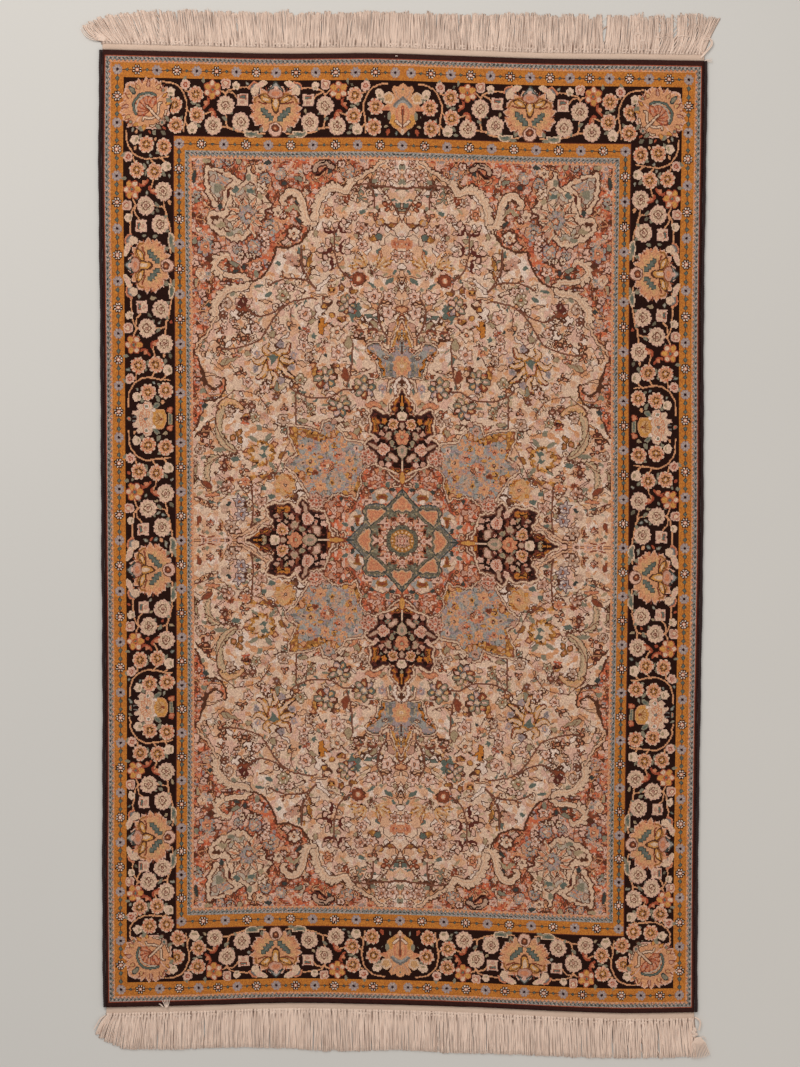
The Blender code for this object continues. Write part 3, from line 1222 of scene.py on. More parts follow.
@dataclass
class Sprigs(Flowers):
    """The looser flowers of the field and its medallion, most of them outlined."""

    def outlined(self, p: Place, r: float, yarn: Yarn) -> None:
        """A small flower of round petals in a thin dark outline, with a dotted heart.

        Args:
            p: Its middle, with its heading along the up axis.
            r: Its radius, in mm.
            yarn: Its own yarn.
        """
        c = self.chart
        count = 5 + round(p.x + p.y) % 2
        c.cell(p, r + 4, lobed(r * 1.3, count, 0.38, p.x * 9), BARK, yarn)
        c.fill(p, r, petals(count, r * 0.80, r * 0.18, r * 0.14, p.x * 9), CHALK)
        c.cell(p, r, lobed(r * 0.40, 5, 0.3), BARK, SALMON)

    def shaded(self, p: Place, length: float, width: float, yarn: Yarn) -> None:
        """A leaf running to the right: a dark one is plain, a pale one has an outline.

        Args:
            p: Its foot.
            length: In mm.
            width: At the widest.
            yarn: Its own yarn.
        """
        if yarn in (SAGE, OLIVE, TEAL, APRICOT):
            self.chart.fill(p.at(0.3, 0), length + 2, blade(length, width * 0.86, 0.42), yarn)
        else:
            self.chart.cell(p.at(0.3, 0), length + 2, blade(length + 1.5, width * 1.15, 0.42), BARK, yarn)

    def twig(self, p: Place, size: float, yarn: Yarn) -> None:
        """A bending stalk with leaves to both sides and a bud at its end.

        Args:
            p: Its middle, with its heading along the up axis.
            size: Half its height, in mm.
            yarn: The leaves' yarn.
        """
        c = self.chart
        stalk = [(-size * 0.25, -size), (size * 0.12, -size * 0.35), (-size * 0.1, size * 0.3),
                 (size * 0.2, size * 0.85)]
        for k, (x, y) in enumerate(((0.0, -0.7), (0.1, -0.3), (-0.02, 0.05), (-0.06, 0.4))):
            leaf = p.at(size * x, size * y, 142 if k % 2 else 38)
            self.shaded(leaf, size * 0.66, size * 0.36, yarn if k % 3 else PEACH)
        c.line(p, stalk, 1.3, BARK)
        c.fill(p.at(size * 0.2, size * 0.85), size, lobed(size * 0.26, 3, 0.3, 90), (-0.8, BARK), (0.3, ROSE))

    def foliage(self, points: Sequence[tuple[float, float]], first: int) -> None:
        """Leaves and small flowers to both sides of a stem, in turn.

        Args:
            points: The stem's points.
            first: Which yarn the leaves begin with.
        """
        curve = smooth(points, 1.0)
        yarns = (SAGE, CHALK, OLIVE, APRICOT, TEAL, CREAM, SAGE, PEACH)
        for k, i in enumerate(range(4, len(curve) - 2, 9)):
            heading = math.degrees(math.atan2(*(curve[i + 2] - curve[i - 2])[::-1]))
            side = 1 if (k + first) % 2 else -1
            length = 10.0 + 2.5 * math.sin(k * 2.4 + first)
            place = spot(*curve[i], heading + side * (46 + 12 * math.sin(k * 1.7 + first))).at(1.0, 0)
            if (k + first) % 5 == 3:
                self.outlined(place.at(length * 0.62, 0), 5.0, CREAM)
                continue
            self.shaded(place, length, 4.6, yarns[(k + first) % len(yarns)])

    def dotted(self, p: Place, r: float, yarn: Yarn, heart: Yarn = CREAM) -> None:
        """A full round flower with eight petals round a pale heart.

        Args:
            p: Its middle, with its heading along the up axis.
            r: Its radius, in mm.
            yarn: Its own yarn.
            heart: The heart's yarn.
        """
        c = self.chart
        c.fill(p, r + 1, lobed(r, 8, 0.10, 22), yarn)
        c.fill(p, r, petals(8, r * 0.66, r * 0.16, r * 0.10, 22), SALMON)
        c.fill(p, r, lobed(r * 0.42, 8, 0.2), BRICK, (r * 0.16, heart))

    def star(self, p: Place, r: float, yarn: Yarn, heart: Yarn = BRICK) -> None:
        """An open flower of six round petals.

        Args:
            p: Its middle, with its heading along the up axis.
            r: Its radius, in mm.
            yarn: Its own yarn.
            heart: The heart's yarn.
        """
        c = self.chart
        c.fill(p, r + 1, petals(6, r * 0.55, r * 0.42, r * 0.30, 30), yarn)
        c.fill(p, r, lobed(r * 0.34, 6, 0.3), heart, (r * 0.18, SAND))

    def trefoil(self, p: Place, r: float, yarn: Yarn, eye: Yarn = SALMON) -> None:
        """Three round petals in one colour, as a clover leaf has them.

        Args:
            p: Its middle, with its heading along the up axis.
            r: Its radius, in mm.
            yarn: Its own yarn.
            eye: The yarn of the petals' middles.
        """
        c = self.chart
        c.cell(p, r * 1.3, petals(3, r * 0.58, r * 0.52, r * 0.40, 90), BARK, yarn)
        c.fill(p, r, petals(3, r * 0.60, r * 0.20, r * 0.16, 90), eye)

    def harlequin(self, p: Place, r: float) -> None:
        """A big rosette whose petals go from rust to sage to cream round it, each in an outline.

        Args:
            p: Its middle, with its heading along the up axis.
            r: Its radius, in mm.
        """
        c = self.chart
        yarns = (CORAL, OLIVE, SAGE, BRICK, TEAL, LILAC, RUST, SAGE)
        for k, yarn in enumerate(yarns):
            place = p.at(0, 0, 45 * k).at(r * 0.62, 0)
            c.cell(place, r, oval(r * 0.44, r * 0.33), BARK, yarn)
            c.fill(place, r, oval(r * 0.20, r * 0.12), ROSE if k % 2 else APRICOT)
        c.cell(p, r, lobed(r * 0.42, 6, 0.25), BARK, MIST)
        c.fill(p, r, disc(r * 0.2), CREAM)

    def claw(self, p: Place, r: float, yarn: Yarn) -> None:
        """A blossom held in dark claws: pink outlined petals above a wine-coloured base.

        Args:
            p: Its middle, with its heading along the up axis.
            r: Its radius, in mm.
            yarn: The claws' yarn.
        """
        c = self.chart
        for side in (-1, 1):
            petal = p.at(side * r * 0.2, -r * 0.2, 90 - side * 42)
            c.cell(petal, r * 1.6, blade(r * 1.15, r * 0.70, 0.6), BARK, ROSE)
            c.line(p, [(0, -r * 0.5), (side * r * 0.5, -r * 0.5), (side * r * 0.8, -r * 0.1, 0.5)], 3.4, yarn)
        c.cell(p.at(0, -r * 0.1, 90), r * 1.4, blade(r * 1.0, r * 0.58, 0.6), BARK, CHALK)
        c.fill(p.at(0, -r * 0.5), r, lobed(r * 0.34, 3, 0.3, 90), yarn)

    def lily_pair(self, p: Place, r: float) -> None:
        """Gold petals spreading from a stalk in two sprays, with cream between them.

        Args:
            p: Its middle, with its heading along the up axis.
            r: Its radius, in mm.
        """
        c = self.chart
        for k, turn in enumerate((-95, -70, -45, -20, 14, 40, 64, 88)):
            petal = p.at(r * (0.35 if turn > 0 else -0.3), -r * 0.5, 90 - turn)
            long = r * (1.5 if k % 2 else 1.25)
            c.fill(petal, r * 2, blade(long, r * 0.44, 0.6), AMBER if k % 2 else APRICOT)
            c.fill(petal.at(long * 0.3, 0), r * 2, blade(long * 0.5, r * 0.14, 0.5), CREAM)
        c.line(p, [(0, -r * 1.0), (r * 0.1, -r * 0.6), (0, -r * 0.3)], 2.0, BARK)

    def peony(self, p: Place, r: float) -> None:
        """A full-blown flower seen from the side, its petals coral and pink in rust outlines.

        Args:
            p: Its middle, with its heading along the up axis.
            r: Its radius, in mm.
        """
        c = self.chart
        for k, yarn in enumerate((SALMON, PINK, CORAL, PINK, SALMON, ROSE, CORAL)):
            place = p.at(0, 0, 51.4 * k).at(0, r * 0.58)
            c.cell(place, r, oval(r * 0.46, r * 0.40), RUST, yarn)
        c.cell(p, r, lobed(r * 0.48, 6, 0.2), RUST, ROSE)
        c.fill(p, r, disc(r * 0.2), CORAL)

    def acanthus(
        self, points: Sequence[tuple[float, ...]], width: float, side: int, yarn: Yarn = CREAM
    ) -> None:
        """A scroll in a dark outline, with leafy teeth along one side.

        Args:
            points: Its points; a third number is the width there, as a share of width.
            width: Its width, in mm.
            side: Which side the teeth stand on: 1 left, -1 right, 0 neither.
            yarn: The scroll's own yarn.
        """
        c = self.chart
        curve = smooth([(*point, 1.0)[:3] for point in points], 1.0)
        teeth = []
        for i in range(2, len(curve) - 2, 6):
            heading = math.degrees(math.atan2(*(curve[i + 2] - curve[i - 2])[1::-1]))
            size = width * float(curve[i, 2]) * (1.30 if i % 4 else 1.05)
            teeth.append((spot(*curve[i, :2], heading + side * 46), blade(size, width * 0.62, 0.42)))
        for place, shape in teeth if side else ():
            c.fill(place, 16, shape, (-1.3, BARK))
        c.line(HEART, points, width * 0.72, yarn, BARK)
        for place, shape in teeth if side else ():
            c.fill(place, 16, shape, yarn)
        c.line(HEART, points, 1.2, BLUSH)


@dataclass
class Medallion:
    """The medallion: an eight-pointed star in a coral cloud, with four pendants round it.

    Args:
        chart: The chart of the field's quarter, its corner at the medallion's middle.
        pendant_wide: How much wider the side pendants are than the upright ones.
        pendant_long: How much further out they lie.
    """

    chart: Chart
    pendant_wide: float = 1.14
    pendant_long: float = 1.035

    # Outlines as points from the medallion's middle; the pendant's is its right half.
    CLOUD = (
        (0, 112), (25, 113), (47, 115), (55, 110), (63, 101), (62, 88), (64, 78), (67, 66), (70, 60),
        (78, 66), (88, 66), (98, 69), (106, 69), (112, 61), (118, 55), (122, 50), (121, 44), (115, 32),
        (112, 22), (112, 0), (0, 0),
    )
    PENDANT = (
        (0, 230), (5, 220), (8, 212), (16, 206), (15, 196), (20, 192), (27, 191), (34, 196), (44, 199),
        (47, 190), (46, 176), (48, 166), (40, 160), (42, 155), (50, 153), (54, 148), (50, 141), (42, 138),
        (38, 128), (37, 117), (24, 113), (12, 108), (0, 104),
    )
    VASES = (
        ((0, 68), (4, 66), (9, 60), (12, 57), (16, 50), (13, 46), (6, 48), (0, 46)),
        ((68, 0), (66, 4), (60, 10), (57, 13), (51, 17), (48, 13), (50, 6), (48, 0)),
    )
    SLANT = (
        (25, 46), (33, 48), (44, 48), (53, 47), (54, 42), (52, 32), (46, 24), (43, 27), (38, 34), (30, 38),
    )

    def draw_cloud(self) -> None:
        """Draws the coral ground round the star, its cream edge and the flowers in it."""
        c, s = self.chart, Sprigs(self.chart)
        c.fill(HEART, 150, outline(self.CLOUD, False), (-3.6, UMBER), (-2.2, CREAM), (-0.4, UMBER),
               (0.9, CORAL))
        c.fill(spot(40, 88), 30, lobed(21, 7, 0.1), CORAL)
        c.fill(spot(92, 42), 34, lobed(23, 7, 0.1), CORAL)
        s.peony(spot(40, 97, 10), 14)
        s.peony(spot(105, 46, -60), 15)
        s.dotted(spot(55, 73), 7.5, RUST, IVORY)
        s.dotted(spot(82, 55), 7.0, CORAL, ROSE)
        for place in (spot(31, 64), Place(66.0, 31.0, np.array([[0.0, 1.0], [1.0, 0.0]]))):
            for turn, yarn in ((-75, MIST), (-38, CREAM), (0, IVORY), (38, ROSE), (75, MIST)):
                c.fill(place.at(0, 0, turn).at(0, 9.5), 14, oval(5.6, 7.0), (-0.6, SAND), (0.3, yarn))
            c.fill(place, 12, above(lobed(9, 7, 0.2), -2), OCHRE, (2.6, RUST))
            c.fill(place.at(0, -4.5), 8, oval(4.6, 4.0), (-0.6, SALMON), CHALK)
        c.ovals(7, (
            (22, 86, 3.6, 4.6, TEAL), (88, 24, 5.0, 3.2, TEAL), (47, 76, 4, 3, SLATE),
            (14, 78, 4, 3, SLATE), (57, 86, 3, 4, MOSS), (94, 62, 3, 4, SLATE), (76, 18, 3, 3, SLATE),
            (108, 30, 3, 3, OLIVE), (33, 108, 3, 2.4, OLIVE),
        ))
        for x, y in ((27, 92), (52, 98), (30, 104), (58, 92), (84, 46), (96, 34), (104, 62), (92, 30),
                     (76, 56), (116, 46)):
            c.fill(spot(x, y), 5, lobed(3.0, 5, 0.25), RUST, (1.4, SALMON))
        curl = [(27, 112), (18, 101), (10, 94), (3, 91), (3, 85), (8, 82), (13, 85), (11, 88)]
        c.line(HEART, curl, 1.8, CREAM, UMBER)
        c.line(HEART, [(y * 1.06, x * 1.06) for x, y in curl], 1.8, CREAM, UMBER)
        ground = (BRICK, CORAL)
        c.trace(ground, BARK, 501, 0.0)
        c.squiggle(ground, UMBER, 7.0, 510, 0.2)
        c.squiggle(ground, PINK, 6.0, 520, -0.1)
        for patch in (
            (ROSE, 6.0, 0.30, 530), (LILAC, 5.0, 0.62, 531), (SALMON, 5.0, 0.15, 532),
            (BRICK, 5.0, 0.25, 533), (TEAL, 5.0, 0.85, 534), (CREAM, 4.0, 0.75, 535),
        ):
            c.mottle(ground, *patch)

    def draw_star(self) -> None:
        """Draws the star's sage straps, the eight peach vases and the ring at the middle."""
        c, s = self.chart, Sprigs(self.chart)
        right = [
            (0, 80), (5, 73), (13, 66), (19, 57), (24, 53), (40, 56), (56, 54), (61, 46), (57, 28),
            (62, 22), (72, 14), (80, 6), (86, 0),
        ]
        star = outline([(0, 0), *right], False)
        c.fill(HEART, 100, star, (-0.9, SLATE), (0.9, PEWTER), (2.8, MOSS), (4.4, PEWTER))
        c.fill(HEART, 60, disc(45), UMBER)
        c.fill(HEART, 60, petals(16, 35, 7.0, 3.0, 11.25), (-1.0, BARK), (0.3, SALMON))
        c.fill(HEART, 60, petals(16, 36, 3.4, 1.0, 11.25), PINK)
        for turn in (0, 45, 90):
            place = HEART.at(0, 0, -turn)
            for side in (-1, 1):
                c.line(place, [(side * 21, 34), (side * 19, 44), (side * 17, 52)], 4.6, MOSS)
            s.small_daisy(place.at(0, 33), 5.6)
            c.fill(place.at(0, 41), 6, outline([(-8, 3), (0, -4), (8, 3), (0, 5)], False), ROSE)
        for turn in (22.5, 67.5):
            place = HEART.at(0, 0, -turn)
            s.small_daisy(place.at(0, 29), 4.4)
            c.fill(place.at(0, 37), 6, lobed(4.4, 4, 0.3), RUST, (1.8, NIGHT))
            c.fill(place.at(0, 43), 6, lobed(3.0, 4, 0.3), SAGE)
        for turn in (11, 34, 56, 79):
            c.fill(HEART.at(0, 0, -turn).at(0, 25), 5, oval(1.8, 3.0), CREAM)
        for vase in (*self.VASES, self.SLANT):
            full = mirrored(vase) if vase is self.VASES[0] else list(vase)
            if vase is self.VASES[1]:
                full += [(x, -y) for x, y in reversed(vase[1:-1])]
            c.fill(HEART, 90, outline(full, False), (-5.0, MOSS), (-2.2, SLATE), (-0.9, SAND),
                   (0.4, APRICOT), (1.6, SALMON))
        c.mottle((MOSS, PEWTER), SLATE, 2.6, 0.72, 551)
        c.mottle((MOSS, PEWTER), OLIVE, 2.8, 0.40, 552)
        c.mottle((SALMON, APRICOT), PEACH, 2.7, 0.45, 553)
        c.fill(HEART, 26, disc(22.5), (-1.0, SLATE), MOSS)
        c.fill(HEART, 26, petals(26, 20.3, 0.8, 1.1), SLATE)
        c.fill(HEART, 26, disc(18.2), OCHRE)
        c.fill(HEART, 26, petals(16, 15.2, 2.8, 2.1), AMBER, (1.0, CREAM))
        c.fill(HEART, 26, disc(11.4), PINK)
        c.fill(HEART, 26, petals(8, 9.4, 1.7, 1.9), SLATE)
        c.fill(HEART, 26, petals(8, 9.4, 0.9, 0.9), PEACH)
        c.fill(HEART, 26, lobed(6.6, 8, 0.18, 22), (-0.8, UMBER), ROSE, (1.6, PINK))
        c.fill(HEART, 24, petals(8, 4.0, 1.6, 0.8, 22), BRICK)
        c.fill(HEART, 24, disc(1.6), CREAM)

    def draw_pendant(self, p: Place) -> None:
        """Draws one pendant: a dark ground full of small flowers, with gold wings.

        Args:
            p: The medallion's middle, its up axis along the pendant.
        """
        c, s = self.chart, Sprigs(self.chart)
        c.fill(p, 300, outline(mirrored(self.PENDANT), False), (-5.4, UMBER), (-4.0, CREAM), (-1.4, UMBER),
               MAROON, (3.0, NIGHT))
        for side in (-1, 1):
            m = Place(p.x, p.y, p.axes @ np.diag((float(side), 1.0)))
            c.fill(m.at(10, 209), 12, outline([(-6, 14), (1, 5), (5, 1), (2, -2), (6, -8), (1, -14),
                                               (-3, -6), (-1, 0), (-6, 4)], False), RUST, (1.3, GOLD),
                   (3.2, OCHRE))
            c.fill(m.at(40, 178), 20, outline([(-4, -12), (6, -14), (5, -2), (6, 9), (-1, 10), (-6, 4),
                                               (-3, -2)], False), RUST, (1.4, GOLD), (3.4, OCHRE))
            c.fill(m.at(10, 107), 18, outline([(-10, -12), (-4, -3), (4, 1), (14, 5), (4, 6), (-10, 4)],
                                              False), RUST, (1.4, GOLD), (3.0, OCHRE))
            s.daisy(m.at(13.5, 178), 8.4)
            s.trefoil(m.at(17, 194, -30), 5.4, SALMON, CREAM)
            c.fill(m.at(21, 160, 20), 12, oval(5.0, 7.6), (-0.7, UMBER), (0.3, SAND), (2.6, OLIVE))
            c.fill(m.at(31, 164), 8, lobed(4.6, 5, 0.2), PINK)
            c.fill(m.at(40, 155), 8, lobed(4.8, 5, 0.2), ROSE, (2.4, PINK))
            c.fill(m.at(28, 156), 10, oval(6.0, 1.6), RUST)
            s.dotted(m.at(29, 140), 9.4, ROSE, PINK)
            c.line(m, [(38, 141), (45, 144), (51, 147, 0.4)], 4.4, SAND, UMBER)
            c.fill(m.at(15, 149), 8, oval(3.2, 5.0), OLIVE, (1.4, SAGE))
            c.fill(m.at(13, 127, -50), 12, oval(5.0, 8.6), (-0.6, UMBER), (0.4, SAND), (2.4, ROSE))
            c.fill(m.at(21, 116), 8, lobed(4.4, 5, 0.2), ROSE)
            c.fill(m.at(31, 118), 8, lobed(4.4, 5, 0.2), PINK)
            c.fill(m.at(25, 172), 8, lobed(3.2, 4, 0.3), SAND)
            c.fill(m.at(10, 167), 6, lobed(2.2, 4, 0.3), SAGE)
        c.fill(p.at(0, 216), 14, outline([(-3, -8), (0, 9), (3, -8), (0, -12)], False), GOLD)
        c.fill(p.at(0, 204), 6, oval(2.0, 4.0), OLIVE)
        s.bud(p.at(0, 190), 7.4)
        s.dotted(p.at(0, 159), 11.0, SALMON, OLIVE)
        c.fill(p.at(0, 176), 7, oval(3.4, 4.4), (-0.6, UMBER), (0.2, SAND))
        c.fill(p.at(0, 138), 14, outline([(-8, 5), (0, 10), (8, 5), (6, -7), (0, -13), (-6, -7)], False),
               OLIVE, (1.4, SAND), (4.6, SAGE))
        c.fill(p.at(0, 97), 14, oval(3.8, 12), (-0.8, RUST), (0.4, AMBER))
        c.fill(p.at(0, 116), 8, oval(1.4, 9), CREAM)

    def crowd(self) -> None:
        """Fills what is left of the pendants' dark ground with small flowers and leaves."""
        c = self.chart
        rng = np.random.default_rng(29)
        for size, tries in ((7.4, 400), (5.6, 500), (4.2, 900), (3.2, 900)):
            for _ in range(tries):
                place = spot(rng.uniform(0, 250), rng.uniform(0, 235), rng.uniform(0, 90))
                pick = rng.integers(0, 7)
                knots, gx, gy = c.window(place, size)
                if not knots.size or (knots[np.hypot(gx, gy) < size - 0.2] != NIGHT).any():
                    continue
                yarn = (ROSE, PINK, SAND, OLIVE, ROSE, GOLD, SAGE)[pick]
                c.fill(place, size + 1, lobed(size * 0.86, 5, 0.25), yarn, (size * 0.52, CORAL))
        c.mottle((NIGHT,), WINE, 4.0, 0.35, 560)

    def draw_joints(self) -> None:
        """Draws the dotted half rosettes where pendants and cartouches meet."""
        c = self.chart
        for place in (spot(52, 128), spot(132, 60)):
            c.fill(place, 18, lobed(12.4, 8, 0.2), (-1.4, UMBER), ROSE, (1.8, PINK))
            c.fill(place, 18, petals(8, 8.0, 2.2, 1.3), BRICK)
            c.fill(place, 18, petals(8, 9.4, 1.0, 1.0, 22), SAND)
            c.fill(place, 18, lobed(5.0, 6, 0.25), (-0.9, UMBER), ROSE, (2.2, CORAL))

    def draw(self) -> None:
        """Draws the medallion from the outside in."""
        sideways = np.array([[0.0, self.pendant_long], [self.pendant_wide, 0.0]])
        self.draw_cloud()
        for place in (HEART, Place(0.0, 0.0, sideways)):
            self.draw_pendant(place)
        self.crowd()
        self.chart.fronds((GOLD, OCHRE), NIGHT, None, 5.0, 0.45, 560, 30)
        self.draw_joints()
        self.draw_star()


@dataclass
class Cartouche:
    """The blue-grey panel between two pendants, full of small flowers."""

    chart: Chart

    # The panel's outline, the gold patches in it, and its blooms: x, y, radius and yarn.
    EDGE = (
        (62, 148), (70, 150), (80, 149), (88, 155), (97, 165), (103, 170), (105, 178), (112, 181),
        (120, 178), (121, 168), (126, 161), (135, 166), (145, 170), (158, 172), (172, 173), (171, 160),
        (166, 150), (162, 138), (158, 130), (165, 128), (172, 122), (178, 115), (165, 105), (157, 95),
        (152, 87), (148, 80), (140, 66), (118, 58), (110, 62), (95, 66), (75, 65), (67, 68), (64, 80),
        (65, 100), (56, 112), (58, 125), (58, 135),
    )
    GOLD_AREAS = (
        ((62, 62), (92, 64), (100, 70), (88, 76), (80, 74), (72, 82), (70, 98), (62, 98)),
        ((96, 164), (104, 172), (118, 160), (134, 165), (150, 170), (174, 174), (170, 150), (162, 132),
         (156, 130),
         (160, 150), (160, 160), (148, 158), (128, 152), (112, 156), (100, 156)),
        ((150, 90), (160, 98), (172, 110), (162, 110), (150, 104), (144, 96)),
    )
    BLOOMS = (
        (80, 122, 8.4, PEACH), (93, 131, 8.0, PINK), (100, 128, 5.0, CORAL), (119, 142, 8.6, PEACH),
        (140, 120, 8.6, APRICOT), (125, 82, 10.0, PEACH), (83, 98, 6.4, AMBER), (104, 100, 6.4, SAND),
        (142, 105, 6.0, AMBER), (96, 90, 5.4, SAND), (108, 88, 4.6, AMBER), (78, 80, 5.0, APRICOT),
        (134, 103, 5.0, RUST), (104, 145, 5.0, AMBER), (113, 172, 5.6, PINK), (152, 118, 5.4, SAND),
        (133, 66, 9.0, SALMON), (116, 64, 5.0, PINK), (70, 140, 5.4, ROSE), (146, 88, 4.6, PEACH),
        (98, 115, 4.0, SAND), (128, 132, 4.0, SAND), (154, 144, 4.4, PEACH), (90, 145, 4.2, PEACH),
        (66, 115, 4.4, SAND), (88, 108, 3.6, PINK), (120, 98, 4.0, PEACH), (72, 108, 4.0, AMBER),
    )

    def draw(self) -> None:
        """Draws the panel's ground, its gold corners, its flowers and its double outline."""
        c, s = self.chart, Sprigs(self.chart)
        panel = outline(self.EDGE, False)
        c.fill(HEART, 260, panel, (-5.0, UMBER), (-3.6, CREAM), (-1.3, UMBER), MIST)
        rng = np.random.default_rng(11)
        for _ in range(150):
            place = spot(rng.uniform(58, 176), rng.uniform(60, 178), rng.uniform(0, 180))
            yarn = rng.choice([PEWTER, LILAC, SAND, PEACH, ASH, AMBER])
            c.over(place, 6, oval(rng.uniform(1.4, 4.4), rng.uniform(1.2, 2.6)), yarn, (MIST,))
        for area in self.GOLD_AREAS:
            gold = outline(area, False)
            c.fill(HEART, 260, lambda x, y: np.maximum(gold(x, y), panel(x, y)), AMBER)
        for _ in range(60):
            place = spot(rng.uniform(58, 176), rng.uniform(60, 178), rng.uniform(0, 180))
            c.over(place, 5, oval(rng.uniform(1.4, 3.4), rng.uniform(1.2, 2.4)), OCHRE, (AMBER,))
        for x, y, r, yarn in self.BLOOMS:
            if r > 6:
                s.star(spot(x, y), r, yarn, BRICK)
            else:
                c.fill(spot(x, y), 8, lobed(r, 5, 0.2), yarn, (r * 0.6, BRICK))
        s.dotted(spot(115, 113), 11, CORAL, CREAM)
        c.fill(spot(142, 140), 8, lobed(5.4, 4, 0.3), SALMON, (2.8, WINE))
        for place in (spot(104, 180), spot(172, 123)):
            c.fill(place, 8, lobed(4.4, 4, 0.25), (-0.9, UMBER), PINK)
        ground = (MIST,)
        c.fronds(ground, SAND, PEACH, 5.0, 0.55, 660, 20)
        c.fronds((AMBER,), RUST, PEACH, 5.5, 0.35, 661, 60)
        c.squiggle(ground, SALMON, 6.0, 610, 0.1)
        c.squiggle(ground, SAND, 7.0, 620, 0.0)
        c.squiggle(ground, PEWTER, 6.0, 630, 0.0)
        for patch in (
            (LILAC, 7.0, 0.35, 640), (SAND, 4.5, 0.6, 641), (PEACH, 5.0, 0.7, 642), (PEWTER, 5.0, 0.6, 643),
        ):
            c.mottle(ground, *patch)
        c.mottle((AMBER,), OCHRE, 4.0, 0.2, 644)
        c.mottle((AMBER,), SAND, 4.5, 0.5, 645)
        c.squiggle((AMBER,), RUST, 6.0, 650, 0.0)


